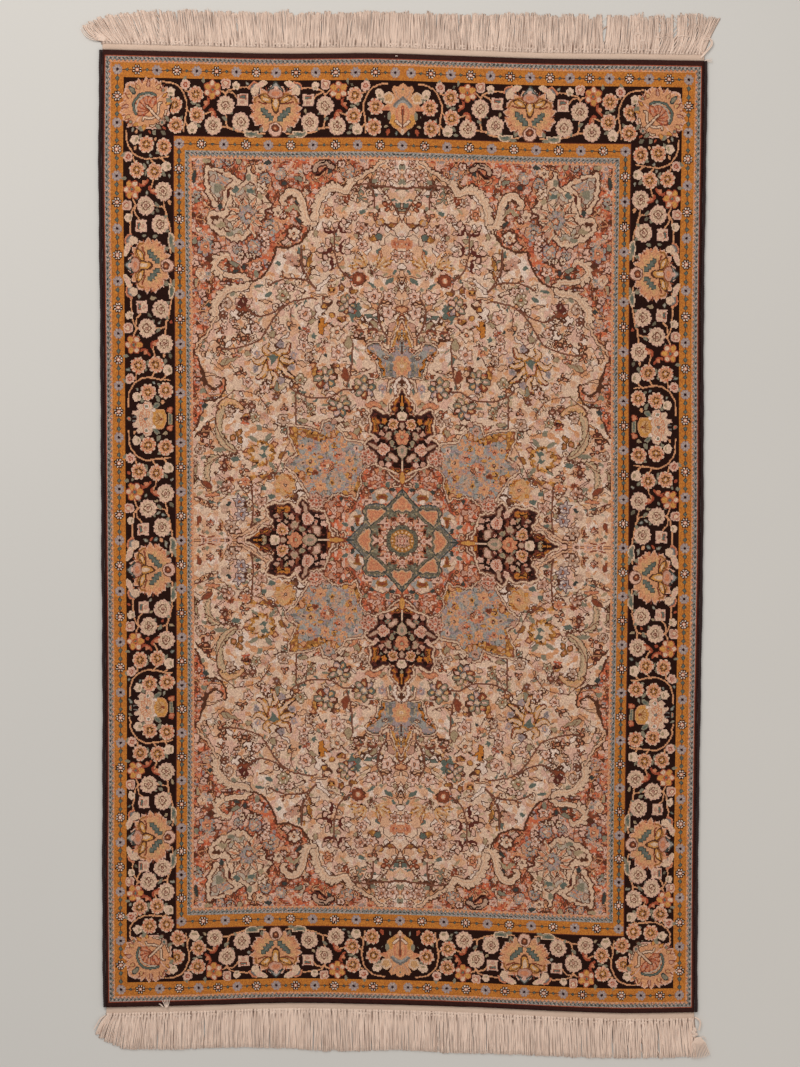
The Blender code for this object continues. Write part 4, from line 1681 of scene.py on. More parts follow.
@dataclass
class Spandrel:
    """The coral corner of the field, bounded by ivory scrolls."""

    chart: Chart

    # The coral ground's outline; the dark lines along it; and the scrolls over its edge, each
    # with its width, the side of its teeth and its points.
    GROUND = (
        (28, 580), (330, 580), (330, 165), (316, 168), (310, 184), (304, 200), (302, 212), (286, 216),
        (273, 227), (271, 246), (278, 236), (288, 231), (297, 240), (303, 255), (312, 277), (318, 285),
        (316, 294), (308, 303), (298, 312), (290, 325), (284, 336), (284, 352), (277, 368), (262, 383),
        (240, 386), (233, 392), (222, 394), (206, 409), (197, 425), (194, 443), (175, 444), (158, 449),
        (145, 461), (138, 475), (131, 488), (129, 500), (122, 517), (113, 527), (100, 531), (88, 527),
        (80, 527), (76, 540), (66, 545), (57, 550), (48, 558), (38, 567),
    )
    LINES = (
        ((139, 477), (141, 468), (147, 460), (154, 453), (164, 447), (178, 444), (194, 444)),
        ((194, 444), (195, 432), (199, 420), (206, 409), (214, 400), (222, 395), (233, 392)),
        ((271, 248), (270, 236), (275, 224), (284, 215), (293, 212), (303, 214)),
        ((276, 243), (280, 235), (288, 231), (296, 238), (301, 248), (304, 258)),
        ((302, 238), (305, 250), (308, 262), (312, 275)),
    )
    SCROLLS = (
        (10.5, 1, ((70, 546), (77, 538), (83, 529), (92, 529), (104, 532), (115, 527), (124, 515), (129, 501),
                  (131, 489), (134, 481))),
        (10.0, -1, ((134, 480), (138, 479), (142, 481), (147, 491), (149, 506), (153, 519), (161, 527),
                    (171, 528),
                   (179, 523, 0.8), (183, 515, 0.7), (181, 509, 0.6), (176, 508, 0.7))),
        (10.0, 1, ((264, 427, 0.7), (272, 430, 0.8), (280, 426), (284, 416), (279, 407), (270, 403))),
        (10.0, 0, ((270, 403), (260, 402), (250, 401), (239, 399), (234, 392), (238, 385))),
        (10.0, 1, ((236, 388), (240, 384), (250, 382), (263, 380), (274, 372), (282, 360), (284, 348),
                   (282, 338, 0.8),
                  (287, 333, 0.6), (292, 336, 0.5))),
        (4.0, 0, ((284, 338), (291, 325), (299, 312), (309, 302), (317, 292, 0.6))),
        (5.0, 1, ((28, 573), (40, 565), (50, 556), (60, 550), (70, 545))),
    )
    LEAF = (
        (300, 565), (289, 564), (274, 561), (261, 555), (250, 547), (243, 541), (253, 534), (261, 532),
        (265, 523), (267, 509), (270, 498), (281, 501), (291, 509), (298, 524), (302, 544),
    )
    FAN = (
        (243, 542), (239, 555), (231, 564), (227, 555), (219, 544), (210, 532), (203, 516), (199, 505),
        (208, 496), (213, 487), (218, 478), (231, 462), (243, 454), (255, 452), (269, 458), (284, 465),
        (294, 474), (299, 485), (298, 493), (286, 500), (271, 498), (267, 516), (258, 532),
    )
    # Small flowers on the coral: kind, x, y, radius and yarn; and leaves and spots as ovals.
    BLOOMS = (
        ("dotted", 185, 554, 9, MIST), ("dotted", 208, 547, 8, MIST), ("star", 216, 562, 8, CREAM),
        ("dotted", 82, 556, 10, MIST), ("outlined", 92, 568, 6, ROSE), ("star", 145, 562, 8, ROSE),
        ("star", 262, 572, 8, MIST), ("dotted", 280, 568, 6, MIST), ("dotted", 201, 474, 13, MIST),
        ("outlined", 164, 465, 8.5, CREAM), ("outlined", 207, 451, 5.5, ROSE), ("star", 189, 497, 9, CREAM),
        ("outlined", 181, 492, 5, ROSE), ("dotted", 225, 446, 10.5, MIST), ("outlined", 228, 432, 5, CREAM),
        ("star", 299, 444, 15, MIST), ("dotted", 299, 444, 8, SALMON), ("outlined", 221, 415, 7.5, ROSE),
        ("star", 252, 440, 8, MIST), ("outlined", 246, 433, 5, CREAM), ("dotted", 308, 405, 8, CREAM),
        ("star", 316, 420, 6, ROSE), ("dotted", 300, 338, 9, MIST), ("star", 313, 522, 7, MIST),
        ("star", 305, 375, 6, ROSE), ("star", 286, 222, 6, MIST), ("dotted", 112, 553, 6, SALMON),
    )
    SPOTS = (
        (170, 502, 8, 3, OLIVE, -35), (160, 502, 8, 3, OLIVE, 50), (316, 548, 3.5, 8, SLATE),
        (180, 540, 4, 3, SLATE), (158, 547, 6, 3, SAGE, 20), (222, 546, 5, 3, OLIVE),
        (240, 414, 2.4, 4, SLATE), (255, 419, 6, 4, SAGE, 20), (222, 404, 3, 6, SAGE),
        (253, 408, 4, 2, SLATE), (157, 485, 6, 2.4, SLATE, 50), (313, 512, 4, 3, SAGE),
        (316, 453, 3, 5, SAGE), (248, 572, 4, 4, OLIVE), (297, 572, 7, 3, OLIVE),
        (205, 570, 6, 3, SLATE), (160, 512, 3, 3, SLATE), (305, 227, 5, 4, SAGE),
        (297, 217, 3, 3, SAGE), (303, 206, 4, 4, SLATE), (110, 556, 3, 3, SLATE),
        (315, 390, 3, 6, OLIVE), (296, 358, 5, 3, SLATE, 30), (295, 425, 4, 3, BARK),
        (310, 470, 4, 3, CREAM), (318, 492, 4, 2, BARK), (313, 330, 3, 3, BARK),
        (250, 392, 7, 3.4, BRICK), (268, 390, 10, 2.4, BRICK, -6), (139, 500, 2.6, 12, BRICK),
    )

    @staticmethod
    def frayed(points: Sequence[tuple[float, float]], deep: float, seed: int) -> Depth:
        """A closed shape whose edge is cut into leafy teeth of uneven depth."""
        shape = outline(points)
        return lambda x, y: shape(x, y) + deep * drift(x, y, 4.2, seed)

    def draw_fan(self) -> None:
        """Draws the large ivory palmette that fills the corner, and the leaf that rises from it."""
        c, s = self.chart, Sprigs(self.chart)
        ash = (ASH,)
        for shape, band in ((self.frayed(self.FAN, 2.6, 461), 8.5), (self.frayed(self.LEAF, 2.2, 463), 7.5)):
            c.cell(HEART, 700, shape, BARK, CREAM)
            c.cell(HEART, 700, lambda x, y: shape(x, y) + band, UMBER, ASH)
        c.fronds((CREAM,), BLUSH, BLUSH, 5.0, 0.45, 465, 60)
        for leaf in (
            (BARK, CREAM, 8.0, -0.15, 466, 50), (UMBER, SAND, 6.0, 0.1, 470, 80),
            (PEACH, PEACH, 6.0, 0.45, 467, -40),
            (OLIVE, OLIVE, 6.0, 0.50, 468, 10), (SAGE, SAGE, 6.0, 0.65, 469, 90),
        ):
            c.fronds(ash, *leaf)
        middle = spot(236, 493)
        for k in range(11):
            petal = middle.at(0, 0, 20 + k * 32.7).at(11, 0)
            long = 23 + 7 * math.sin(k * 2.1)
            c.cell(petal, 50, blade(long, 9.0, 0.36), BARK, CREAM)
            c.fill(petal.at(2, 0), 50, blade(long * 0.7, 3.6, 0.42), SALMON)
        c.cell(middle, 30, toothed(18, 11, 0.46, 3), UMBER, PEACH)
        c.cell(middle, 22, lobed(15, 7, 0.26), PEWTER, MIST)
        c.cell(middle.at(-2, -2), 12, lobed(7.0, 6, 0.35), BRICK, SALMON)
        c.fill(middle.at(-2, -2), 12, disc(2.6), CREAM)
        c.ovals(12, (
            (273, 543, 9, 7, MIST), (281, 531, 6, 8, SAGE), (253, 530, 5, 4, TEAL),
            (231, 528, 4.5, 4, TEAL), (277, 503, 4, 5, SLATE), (233, 548, 4, 5, SAGE),
            (276, 477, 7, 4, OLIVE), (284, 487, 5, 3, BARK), (262, 464, 6, 3.4, SAGE),
            (216, 520, 4, 6, OLIVE), (222, 472, 4, 4, PINK), (210, 505, 4, 4, PINK),
        ))
        s.outlined(spot(213, 533), 7, CREAM)
        s.outlined(spot(208, 462), 7, ROSE)

    def draw_vermicelli(self) -> None:
        """Outlines what stands on the coral, and fills it with winding lines and patches."""
        c, ground = self.chart, (CORAL,)
        c.trace(ground, WINE, 428, -0.1)
        for leaf in (
            (ROSE, MIST, 9.0, 0.66, 420, 30), (PEACH, None, 10.0, 0.52, 421, -50),
            (RUST, None, 9.0, 0.80, 422, 80), (SALMON, SALMON, 6.0, 0.76, 423, 10),
            (BARK, ROSE, 8.0, 0.66, 424, -20), (CREAM, MIST, 6.0, 0.80, 425, 60),
            (BARK, None, 7.0, 0.80, 426, 35),
        ):
            c.fronds(ground, *leaf)
        c.squiggle(ground, RUST, 7.0, 430, 0.1)
        for patch in ((BRICK, 7.0, 0.75, 444), (SALMON, 4.0, 0.75, 446)):
            c.mottle(ground, *patch)

    def draw(self) -> None:
        """Draws the coral ground with its blotches, the palmette, the small flowers and the scrolls."""
        c, s = self.chart, Sprigs(self.chart)
        ground = outline(self.GROUND, False)
        c.fill(HEART, 700, ground, (-1.0, BARK), (0.4, CORAL))
        for kind, x, y, r, yarn in self.BLOOMS:
            getattr(s, kind)(spot(x, y), r, yarn)
        c.ovals(14, self.SPOTS)
        c.line(HEART, [(106, 562), (113, 569), (124, 570), (131, 566), (132, 559)], 6.0, SAND, NIGHT)
        c.line(HEART, [(118, 560), (123, 554), (131, 553)], 2.4, NIGHT)
        c.line(HEART, [(108, 569), (116, 572), (126, 569)], 2.2, NIGHT)
        self.draw_fan()
        self.draw_vermicelli()
        c.line(HEART, [(272, 244), (272, 233), (280, 223), (292, 220), (304, 222)], 5.0, SALMON)
        c.line(HEART, [(279, 226), (292, 222), (301, 236), (308, 256), (313, 272, 0.3)], 5.5, CORAL)
        for width, side, points in self.SCROLLS:
            s.acanthus(points, width, side)
        for points in self.LINES:
            c.line(HEART, points, 2.8, BARK)


@dataclass
class Flora:
    """The stems, flowers and leaves strewn over the ivory field.

    Args:
        chart: The chart of the field's quarter.
    """

    chart: Chart

    # A stem is its width and its points; a bloom its kind, x, y, radius, turn and yarn; a leaf
    # its x, y, length, width, turn and yarn; and a dab its x, y, half width and half height.
    STEMS = (
        (2.6, ((0, 534), (14, 534), (28, 535), (42, 537), (52, 539), (62, 537), (74, 536))),
        (1.6, ((50, 539), (44, 550), (38, 560))),
        (1.6, ((34, 534), (22, 520), (12, 508), (5, 494), (0, 482))),
        (2.4, ((50, 537), (44, 527), (42, 515), (42, 503))),
        (2.2, ((103, 472), (103, 450), (101, 430), (95, 413), (88, 405), (82, 401), (78, 398))),
        (2.4, ((153, 446), (154, 428), (150, 411), (142, 397), (132, 383))),
        (2.0, ((134, 384), (145, 394), (158, 397), (175, 397), (192, 393), (203, 387))),
        (1.6, ((50, 424), (49, 414), (42, 406), (28, 400), (12, 402))),
        (2.8, ((22, 298), (24, 310), (31, 323), (35, 338), (36, 352), (31, 364), (27, 372))),
        (1.8, ((29, 317), (44, 321), (58, 321), (71, 317))),
        (1.6, ((37, 348), (46, 354), (58, 348))),
        (2.4, ((130, 366), (140, 368), (152, 366), (165, 364), (178, 357), (190, 345), (200, 332), (208, 318),
               (214, 309), (223, 302), (236, 297), (252, 293), (268, 291), (278, 293))),
        (1.6, ((158, 364), (166, 356), (170, 344), (168, 330))),
        (2.0, ((182, 356), (195, 347), (210, 342), (222, 341), (231, 347), (238, 354))),
        (3.0, ((75, 300), (76, 285), (77, 268), (80, 250), (85, 235))),
        (2.4, ((78, 229), (90, 229), (102, 222), (115, 217), (130, 217), (145, 219), (160, 225), (172, 233))),
        (2.8, ((163, 225), (163, 210), (163, 190), (162, 175))),
        (1.8, ((148, 218), (146, 206), (139, 196), (137, 190))),
        (1.8, ((118, 217), (115, 224), (115, 232))),
        (1.8, ((172, 150), (178, 141), (184, 124), (191, 108), (197, 92))),
        (1.8, ((160, 232), (152, 214), (146, 205))),
        (2.6, ((231, 85), (230, 65), (229, 45), (232, 20))),
        (1.6, ((232, 60), (238, 70), (246, 77), (256, 76))),
        (1.6, ((110, 300), (124, 301), (133, 296), (138, 288), (137, 279))),
        (1.4, ((118, 297), (126, 292), (131, 283))),
        (1.6, ((255, 228), (240, 227), (226, 223), (214, 213), (204, 200))),
        (1.6, ((256, 228), (268, 220), (280, 208), (285, 192), (284, 175), (277, 158), (262, 140),
               (245, 137))),
        (1.8, ((250, 133), (268, 131), (284, 126), (296, 118), (304, 112))),
        (1.8, ((252, 137), (262, 128), (270, 122), (274, 116))),
        (1.6, ((48, 262), (55, 258), (65, 257), (72, 254))),
        (1.6, ((38, 268), (40, 280), (46, 290), (52, 297), (48, 303), (36, 302), (22, 300))),
        (1.6, ((0, 251), (14, 251), (30, 251), (44, 249))),
        (1.6, ((285, 75), (275, 82), (268, 76), (272, 66), (282, 60), (284, 48))),
        (1.8, ((268, 82), (280, 78), (292, 72))),
        (1.6, ((320, 68), (312, 66), (300, 60), (294, 50))),
        (1.6, ((62, 322), (68, 330), (72, 335))),
        (1.4, ((84, 402), (96, 398), (104, 394), (112, 392))),
        (1.4, ((225, 86), (214, 92), (205, 100), (196, 102))),
        (1.6, ((0, 376), (8, 386), (14, 392))),
    )
    BLOOMS = (
        ("dotted", 66, 397, 12.5, 0, BRICK), ("outlined", 43, 371, 9.5, 0, ROSE),
        ("outlined", 20, 348, 9, 0, ROSE), ("outlined", 20, 372, 8.5, 0, ROSE),
        ("outlined", 150, 296, 8.5, 0, ROSE), ("star", 74, 350, 15, 10, TEAL),
        ("harlequin", 84, 358, 15, 10), ("harlequin", 58, 233, 17.5, 0), ("harlequin", 117, 247, 18, 40),
        ("harlequin", 95, 205, 17.5, 70), ("outlined", 155, 245, 8, 0, OLIVE),
        ("claw", 88, 474, 12, 60, WINE), ("claw", 109, 473, 13, 0, WINE), ("claw", 86, 445, 13, 90, WINE),
        ("claw", 116, 444, 13, -50, WINE), ("claw", 113, 420, 13, -90, WINE),
        ("claw", 44, 316, 9, 180, RUST), ("claw", 65, 314, 9, 180, RUST), ("trefoil", 62, 518, 11, 0, SAGE),
        ("trefoil", 22, 507, 9, 60, RUST), ("outlined", 74, 518, 6, 0, CREAM),
        ("star", 83, 517, 7, 0, RUST), ("outlined", 95, 515, 6, 0, SAND),
        ("outlined", 112, 498, 8, 0, SALMON), ("outlined", 12, 552, 8.5, 0, ROSE),
        ("outlined", 28, 553, 9, 0, PINK), ("outlined", 15, 569, 6, 0, PINK),
        ("trefoil", 42, 491, 8, 180, UMBER), ("outlined", 45, 470, 8, 0, ROSE),
        ("outlined", 61, 473, 8, 0, PINK), ("outlined", 61, 448, 7, 0, ROSE),
        ("outlined", 73, 490, 6, 0, PINK), ("lily_pair", 46, 424, 20, 0), ("star", 8, 450, 10, 0, SALMON),
        ("outlined", 9, 432, 8, 0, PINK), ("star", 168, 425, 10, 0, PINK),
        ("trefoil", 182, 402, 6, 0, UMBER), ("claw", 242, 359, 14, 0, RUST),
        ("star", 243, 362, 8, 20, WINE), ("trefoil", 237, 307, 7.5, 30, BRICK),
        ("trefoil", 253, 306, 8, 150, BRICK), ("trefoil", 275, 304, 8.5, 30, BRICK),
        ("trefoil", 253, 285, 8, 0, BRICK), ("trefoil", 278, 286, 8, 100, BRICK),
        ("trefoil", 245, 257, 8, 0, BRICK), ("trefoil", 299, 173, 8.5, 0, WINE),
        ("trefoil", 306, 159, 8.5, 60, WINE), ("trefoil", 295, 146, 8.5, 20, WINE),
        ("outlined", 225, 322, 7, 0, ROSE), ("outlined", 268, 360, 7.5, 0, SAND),
        ("outlined", 273, 341, 7, 0, UMBER), ("outlined", 258, 333, 5, 0, ROSE),
        ("outlined", 272, 326, 5.5, 0, ROSE), ("trefoil", 278, 318, 6, 0, RUST),
        ("outlined", 187, 322, 8, 0, ROSE), ("star", 145, 321, 7, 0, BRICK),
        ("outlined", 151, 312, 7, 0, PINK), ("outlined", 148, 345, 9, 0, ROSE),
        ("outlined", 100, 316, 9.5, 0, CREAM), ("outlined", 97, 286, 9.5, 0, ROSE),
        ("star", 122, 290, 7, 0, SALMON), ("outlined", 142, 279, 6, 0, SAND),
        ("outlined", 182, 372, 9, 0, OLIVE), ("outlined", 172, 385, 6, 0, ROSE),
        ("outlined", 210, 232, 8, 0, ROSE), ("outlined", 237, 241, 7, 0, ROSE),
        ("star", 193, 219, 7, 0, UMBER), ("star", 215, 133, 22, 0, AMBER),
        ("trefoil", 252, 158, 11.5, 20, OCHRE), ("trefoil", 243, 108, 9, 110, BRICK),
        ("outlined", 225, 77, 8, 0, ROSE), ("outlined", 250, 60, 8.5, 0, LILAC),
        ("outlined", 241, 88, 9, 0, UMBER), ("star", 241, 89, 8, 0, SALMON),
        ("star", 272, 114, 11, 0, CORAL), ("outlined", 216, 58, 8, 0, PINK),
        ("outlined", 247, 40, 9, 0, LILAC), ("outlined", 268, 82, 8, 0, PINK),
        ("star", 263, 93, 6, 0, RUST), ("star", 180, 85, 9, 0, PEACH), ("outlined", 262, 22, 9, 0, SAND),
        ("star", 295, 26, 8, 0, BRICK), ("trefoil", 281, 18, 6, 0, AMBER), ("star", 272, 48, 8, 0, SAND),
        ("star", 240, 182, 8, 0, CORAL), ("outlined", 225, 188, 7, 0, OLIVE),
        ("star", 182, 183, 6, 0, CORAL), ("outlined", 182, 184, 8, 0, SAND),
        ("trefoil", 180, 202, 7, 0, BRICK), ("outlined", 265, 195, 7, 0, SAND),
        ("star", 211, 190, 7, 0, PINK), ("outlined", 180, 168, 6, 0, SAGE),
        ("outlined", 57, 185, 7, 0, SAND), ("trefoil", 63, 197, 7, 180, RUST),
        ("outlined", 72, 182, 6, 0, SAND), ("star", 128, 177, 6, 0, CORAL),
        ("outlined", 140, 200, 7, 0, OLIVE), ("star", 222, 41, 6, 0, CORAL), ("star", 320, 120, 6, 0, SAND),
        ("outlined", 310, 140, 7, 0, SAND), ("star", 30, 232, 8, 0, LILAC),
        ("outlined", 15, 242, 6, 0, OLIVE), ("star", 312, 232, 5, 0, MIST), ("star", 230, 205, 7, 0, UMBER),
    )
    LEAVES = (
        (6, 508, 11, 8, 40, TEAL), (59, 498, 14, 6, 70, TEAL), (35, 460, 12, 9, -50, TEAL),
        (34, 440, 12, 7, 60, TEAL), (19, 395, 15, 9, 60, TEAL), (46, 388, 16, 5, -70, TEAL),
        (157, 440, 11, 7, 0, TEAL), (188, 421, 8, 7, 0, TEAL), (50, 341, 15, 5.5, -75, TEAL),
        (68, 352, 20, 8, 20, TEAL), (203, 374, 13, 8, 60, TEAL), (219, 386, 15, 6, 80, TEAL),
        (258, 375, 12, 7, -20, SAGE), (78, 278, 12, 7, 0, TEAL), (135, 311, 10, 7, 80, TEAL),
        (155, 322, 7, 5, 0, SLATE), (171, 322, 9, 4, 0, SLATE), (197, 276, 12, 11, -90, TEAL),
        (118, 207, 12, 6, 90, SAGE), (150, 182, 16, 7, 90, OLIVE), (256, 124, 15, 8, -75, TEAL),
        (280, 138, 26, 7, -95, SAGE), (213, 80, 11, 9, -40, TEAL), (201, 66, 14, 8, -80, TEAL),
        (220, 30, 13, 7, -60, TEAL), (265, 56, 10, 7, 80, SLATE), (280, 88, 14, 8, -60, SAGE),
        (18, 229, 11, 8, 0, TEAL), (219, 172, 12, 8, -40, SAGE), (280, 74, 9, 6, 80, SAGE),
        (30, 383, 9, 6, 0, SAGE), (8, 384, 10, 5, 20, OLIVE), (42, 329, 14, 7, -50, OLIVE),
        (15, 326, 18, 8, 20, PINK), (32, 308, 9, 6, 0, OLIVE), (70, 462, 12, 6, -40, OLIVE),
        (98, 458, 12, 6, 70, OLIVE), (107, 454, 12, 6, -10, OLIVE), (131, 465, 13, 7, 20, OLIVE),
        (48, 405, 12, 5, -30, OLIVE), (137, 345, 12, 8, 80, OLIVE), (138, 334, 12, 8, 60, OLIVE),
        (82, 301, 20, 10, 0, OLIVE), (87, 254, 22, 9, -10, RUST), (117, 282, 8, 5, 0, SLATE),
        (3, 543, 9, 8, 0, SAGE), (3, 565, 10, 7, 0, SAGE), (42, 543, 10, 7, 50, SAGE),
        (140, 425, 24, 6, 20, AMBER), (150, 444, 10, 6, 0, AMBER), (141, 409, 14, 5, 8, AMBER),
        (137, 267, 14, 7, 70, AMBER), (198, 314, 10, 8, 0, OLIVE), (272, 272, 16, 8, 50, OLIVE),
        (262, 274, 24, 5, 60, OLIVE), (236, 285, 10, 7, 30, OLIVE), (232, 96, 26, 7, 85, AMBER),
        (177, 155, 14, 5, 80, AMBER), (184, 130, 16, 7, -150, OCHRE), (205, 157, 18, 6, 40, SAGE),
        (228, 154, 20, 7, -60, SAGE), (200, 115, 20, 6, 160, SAGE), (226, 112, 18, 6, -130, SAGE),
        (33, 207, 20, 8, -85, OLIVE), (70, 165, 16, 8, 30, OLIVE), (86, 178, 12, 6, -80, OLIVE),
        (44, 206, 26, 12, -80, SALMON), (52, 172, 14, 9, 10, SALMON), (74, 160, 18, 7, -50, SALMON),
        (302, 205, 12, 8, 0, SAGE), (307, 186, 9, 7, -30, SAGE), (244, 30, 14, 8, 30, SAND),
        (312, 30, 16, 6, 10, RUST), (308, 60, 16, 6, -30, CORAL), (300, 86, 18, 6, -60, RUST),
        (278, 26, 14, 8, -10, AMBER), (291, 70, 24, 6, 88, SALMON), (236, 47, 9, 6, 0, OLIVE),
        (305, 126, 10, 5, 40, SAGE), (316, 108, 14, 5, 20, OLIVE), (190, 384, 14, 7, -60, SAND),
    )
    DABS = (
        (75, 378, 6, 3.6), (92, 383, 4.2, 4.2), (107, 381, 5.2, 4.6), (92, 336, 5.6, 4.2),
        (107, 342, 4.4, 4.6), (119, 355, 4.0, 3.6), (2, 352, 7, 5), (121, 368, 2, 2), (46, 252, 3, 3),
        (5, 330, 3, 6), (10, 306, 3, 5), (100, 267, 4, 3), (134, 258, 5, 8), (162, 234, 4, 3),
        (80, 152, 6, 3), (66, 168, 4, 6), (236, 137, 7, 3), (196, 146, 5, 3), (208, 97, 9, 4),
        (171, 68, 8, 3), (176, 46, 7, 4), (198, 45, 6, 4), (238, 190, 5, 4), (250, 209, 9, 4),
        (268, 212, 10, 4), (279, 200, 5, 6), (33, 482, 7, 5), (45, 458, 5, 4), (14, 478, 6, 3),
    )

    def draw_great_lily(self) -> None:
        """Draws the large gold lily that stands between the medallion and the corner."""
        c = self.chart
        p = spot(197, 268)
        arms = (
            ((-4, 12), (-14, 9), (-22, 3), (-32, 6, 0.5)), ((-8, 2), (-14, -6), (-20, -14), (-30, -18, 0.5)),
            ((0, -4), (-2, -16), (-4, -26), (2, -34, 0.6)), ((8, 0), (12, -10), (16, -16), (26, -20, 0.5)),
            ((6, 12), (14, 8), (22, 3), (30, 8, 0.5)), ((-2, 16), (-12, 18), (-20, 22), (-24, 30, 0.5)),
            ((8, 18), (12, 22), (8, 30, 0.5)),
        )
        for arm in arms:
            c.line(p, arm, 8.4, AMBER, BARK)
            c.line(p.at(0.8, 0.8), arm, 4.6, CREAM)
            c.line(p.at(1.4, 1.4), arm, 1.2, BLUSH)
        for x, y, a, b in ((-32, 14, 5, 6), (-28, -4, 5, 7), (-12, -24, 5, 6), (26, -6, 4, 7), (24, 16, 5, 5),
                           (-12, 30, 7, 4)):
            c.fill(p.at(x, y), 10, lobed((a + b) / 2, 5, 0.2), LILAC, (a * 0.5, MIST))
        c.fill(p.at(0, 4), 20, oval(9, 13), (-1.2, OCHRE), AMBER, (1.8, ROSE))
        c.fill(p.at(0, 8), 12, outline([(-8, 4), (-1, 8), (8, 4), (4, -1), (3, -9), (-2, -3)], False), TEAL)
        c.fill(p.at(-6, -34), 9, oval(3, 7), (-0.8, OCHRE), (0.2, SAGE))

    def draw_crown(self) -> None:
        """Draws the blue-grey crowned shield above an upright pendant."""
        c, s = self.chart, Sprigs(self.chart)
        shield = [
            (0, 334), (6, 322), (12, 306), (15, 291), (20, 286), (28, 290), (36, 300), (46, 300), (53, 294),
            (52, 288), (44, 284), (38, 276), (36, 262), (30, 250), (16, 249), (0, 249),
        ]
        c.fill(HEART, 400, outline(shield, False), (-4.0, UMBER), (-2.6, CREAM), (-0.6, BARK), (0.6, MIST))
        c.line(HEART, [(0, 330), (6, 316), (11, 300), (14, 292)], 3.4, AMBER)
        c.line(HEART, [(28, 253), (31, 264), (34, 274), (42, 282), (50, 288)], 4.2, GOLD)
        c.ovals(12, (
            (8, 284, 7, 5, LILAC), (18, 262, 4, 9, PEWTER), (16, 278, 4, 5, PEWTER),
            (38, 294, 7, 2.4, LILAC), (3, 308, 4, 6, ASH), (24, 280, 5, 4, ASH),
        ))
        c.fronds((MIST,), PEWTER, LILAC, 5.0, 0.30, 331, 20)
        for x, y in ((15, 291), (43, 279), (39, 252)):
            s.outlined(spot(x, y), 5.0, SALMON)
        c.line(HEART, [(4, 247), (9, 242), (11, 234), (9, 224)], 4.0, CHALK, UMBER)
        c.line(HEART, [(14, 246), (20, 240), (21, 230)], 3.0, CREAM, UMBER)
        s.dotted(spot(0, 267), 15, PEACH, APRICOT)
        s.star(spot(0, 267), 10, APRICOT, CREAM)
        for points in (((0, 330), (2, 318), (4, 306)), ((0, 345), (8, 335), (12, 320))):
            c.line(HEART, points, 2.0, AMBER)

    def draw_side_tip(self) -> None:
        """Draws the fine bands beyond a side pendant's tip, running to the field's edge."""
        c, s = self.chart, Sprigs(self.chart)
        for dy, yarn, width in ((0, ROSE, 2.6), (7, UMBER, 1.2), (10, BLUSH, 2.6), (14, UMBER, 1.2)):
            c.line(HEART, [(196, 32 + dy), (212, 20 + dy), (230, 10 + dy * 0.7), (250, 2 + dy * 0.5),
                           (262, dy * 0.4)], width, yarn)
        c.line(HEART, [(256, 0), (280, 0), (322, 0)], 2.6, PEACH, UMBER)
        c.line(HEART, [(290, 8), (300, 4), (312, 8)], 2.4, RUST)
        for x in (268, 286, 304):
            s.small_daisy(spot(x, 0), 6.5)
        for x, y in ((278, 10), (298, 12), (312, 16)):
            c.fill(spot(x, y), 6, lobed(3.6, 4, 0.3), SAGE)

    def draw_mottles(self) -> None:
        """Works outlined leaf shapes, winding lines and soft patches into the ivory ground."""
        c, ground = self.chart, (IVORY,)
        for leaf in (
            (BARK, IVORY, 12.0, 0.58, 301, 38), (BARK, CHALK, 10.0, 0.68, 302, -42),
            (BARK, BLUSH, 9.0, 0.74, 304, 12), (SAGE, SAGE, 6.0, 0.98, 303, 100),
            (OLIVE, OLIVE, 6.5, 0.98, 305, -70), (PEACH, PEACH, 6.0, 0.56, 307, -20),
            (BLUSH, BLUSH, 6.0, 0.40, 308, 50), (ASH, ASH, 6.0, 0.86, 309, -30),
            (FAWN, FAWN, 6.0, 0.78, 310, 20), (ROSE, ROSE, 6.0, 0.24, 311, 80),
            (CHALK, CHALK, 7.0, 0.50, 312, -60),
        ):
            c.fronds(ground, *leaf)

    def draw_strays(self) -> None:
        """Fills the empty places with sprigs, each kind drawn from a seeded order."""
        c, s = self.chart, Sprigs(self.chart)
        rng = np.random.default_rng(17)
        twigs = (SAGE, OLIVE, SALMON, TEAL, AMBER, SAGE)
        for size, tries in ((13.0, 60), (10.0, 70), (7.5, 80)):
            for _ in range(tries):
                x, y = rng.uniform(0, 318), rng.uniform(0, 572)
                turn, pick = rng.uniform(0, 360), rng.integers(0, 8)
                place = spot(x, y, turn)
                knots, gx, gy = c.window(place, size)
                if not knots.size or (knots[np.hypot(gx, gy) < size * 0.95] != IVORY).any():
                    continue
                if pick < 4:
                    s.twig(place, size * 0.9, twigs[(pick + int(x)) % len(twigs)])
                elif pick < 5:
                    s.outlined(place, size * 0.62, (CREAM, IVORY, ROSE)[(pick + int(y)) % 3])
                elif pick < 7:
                    s.shaded(place.at(-size * 0.8, 0), size * 1.6, size * 0.55, OLIVE)
                else:
                    s.trefoil(place, size * 0.6, SALMON, CHALK)

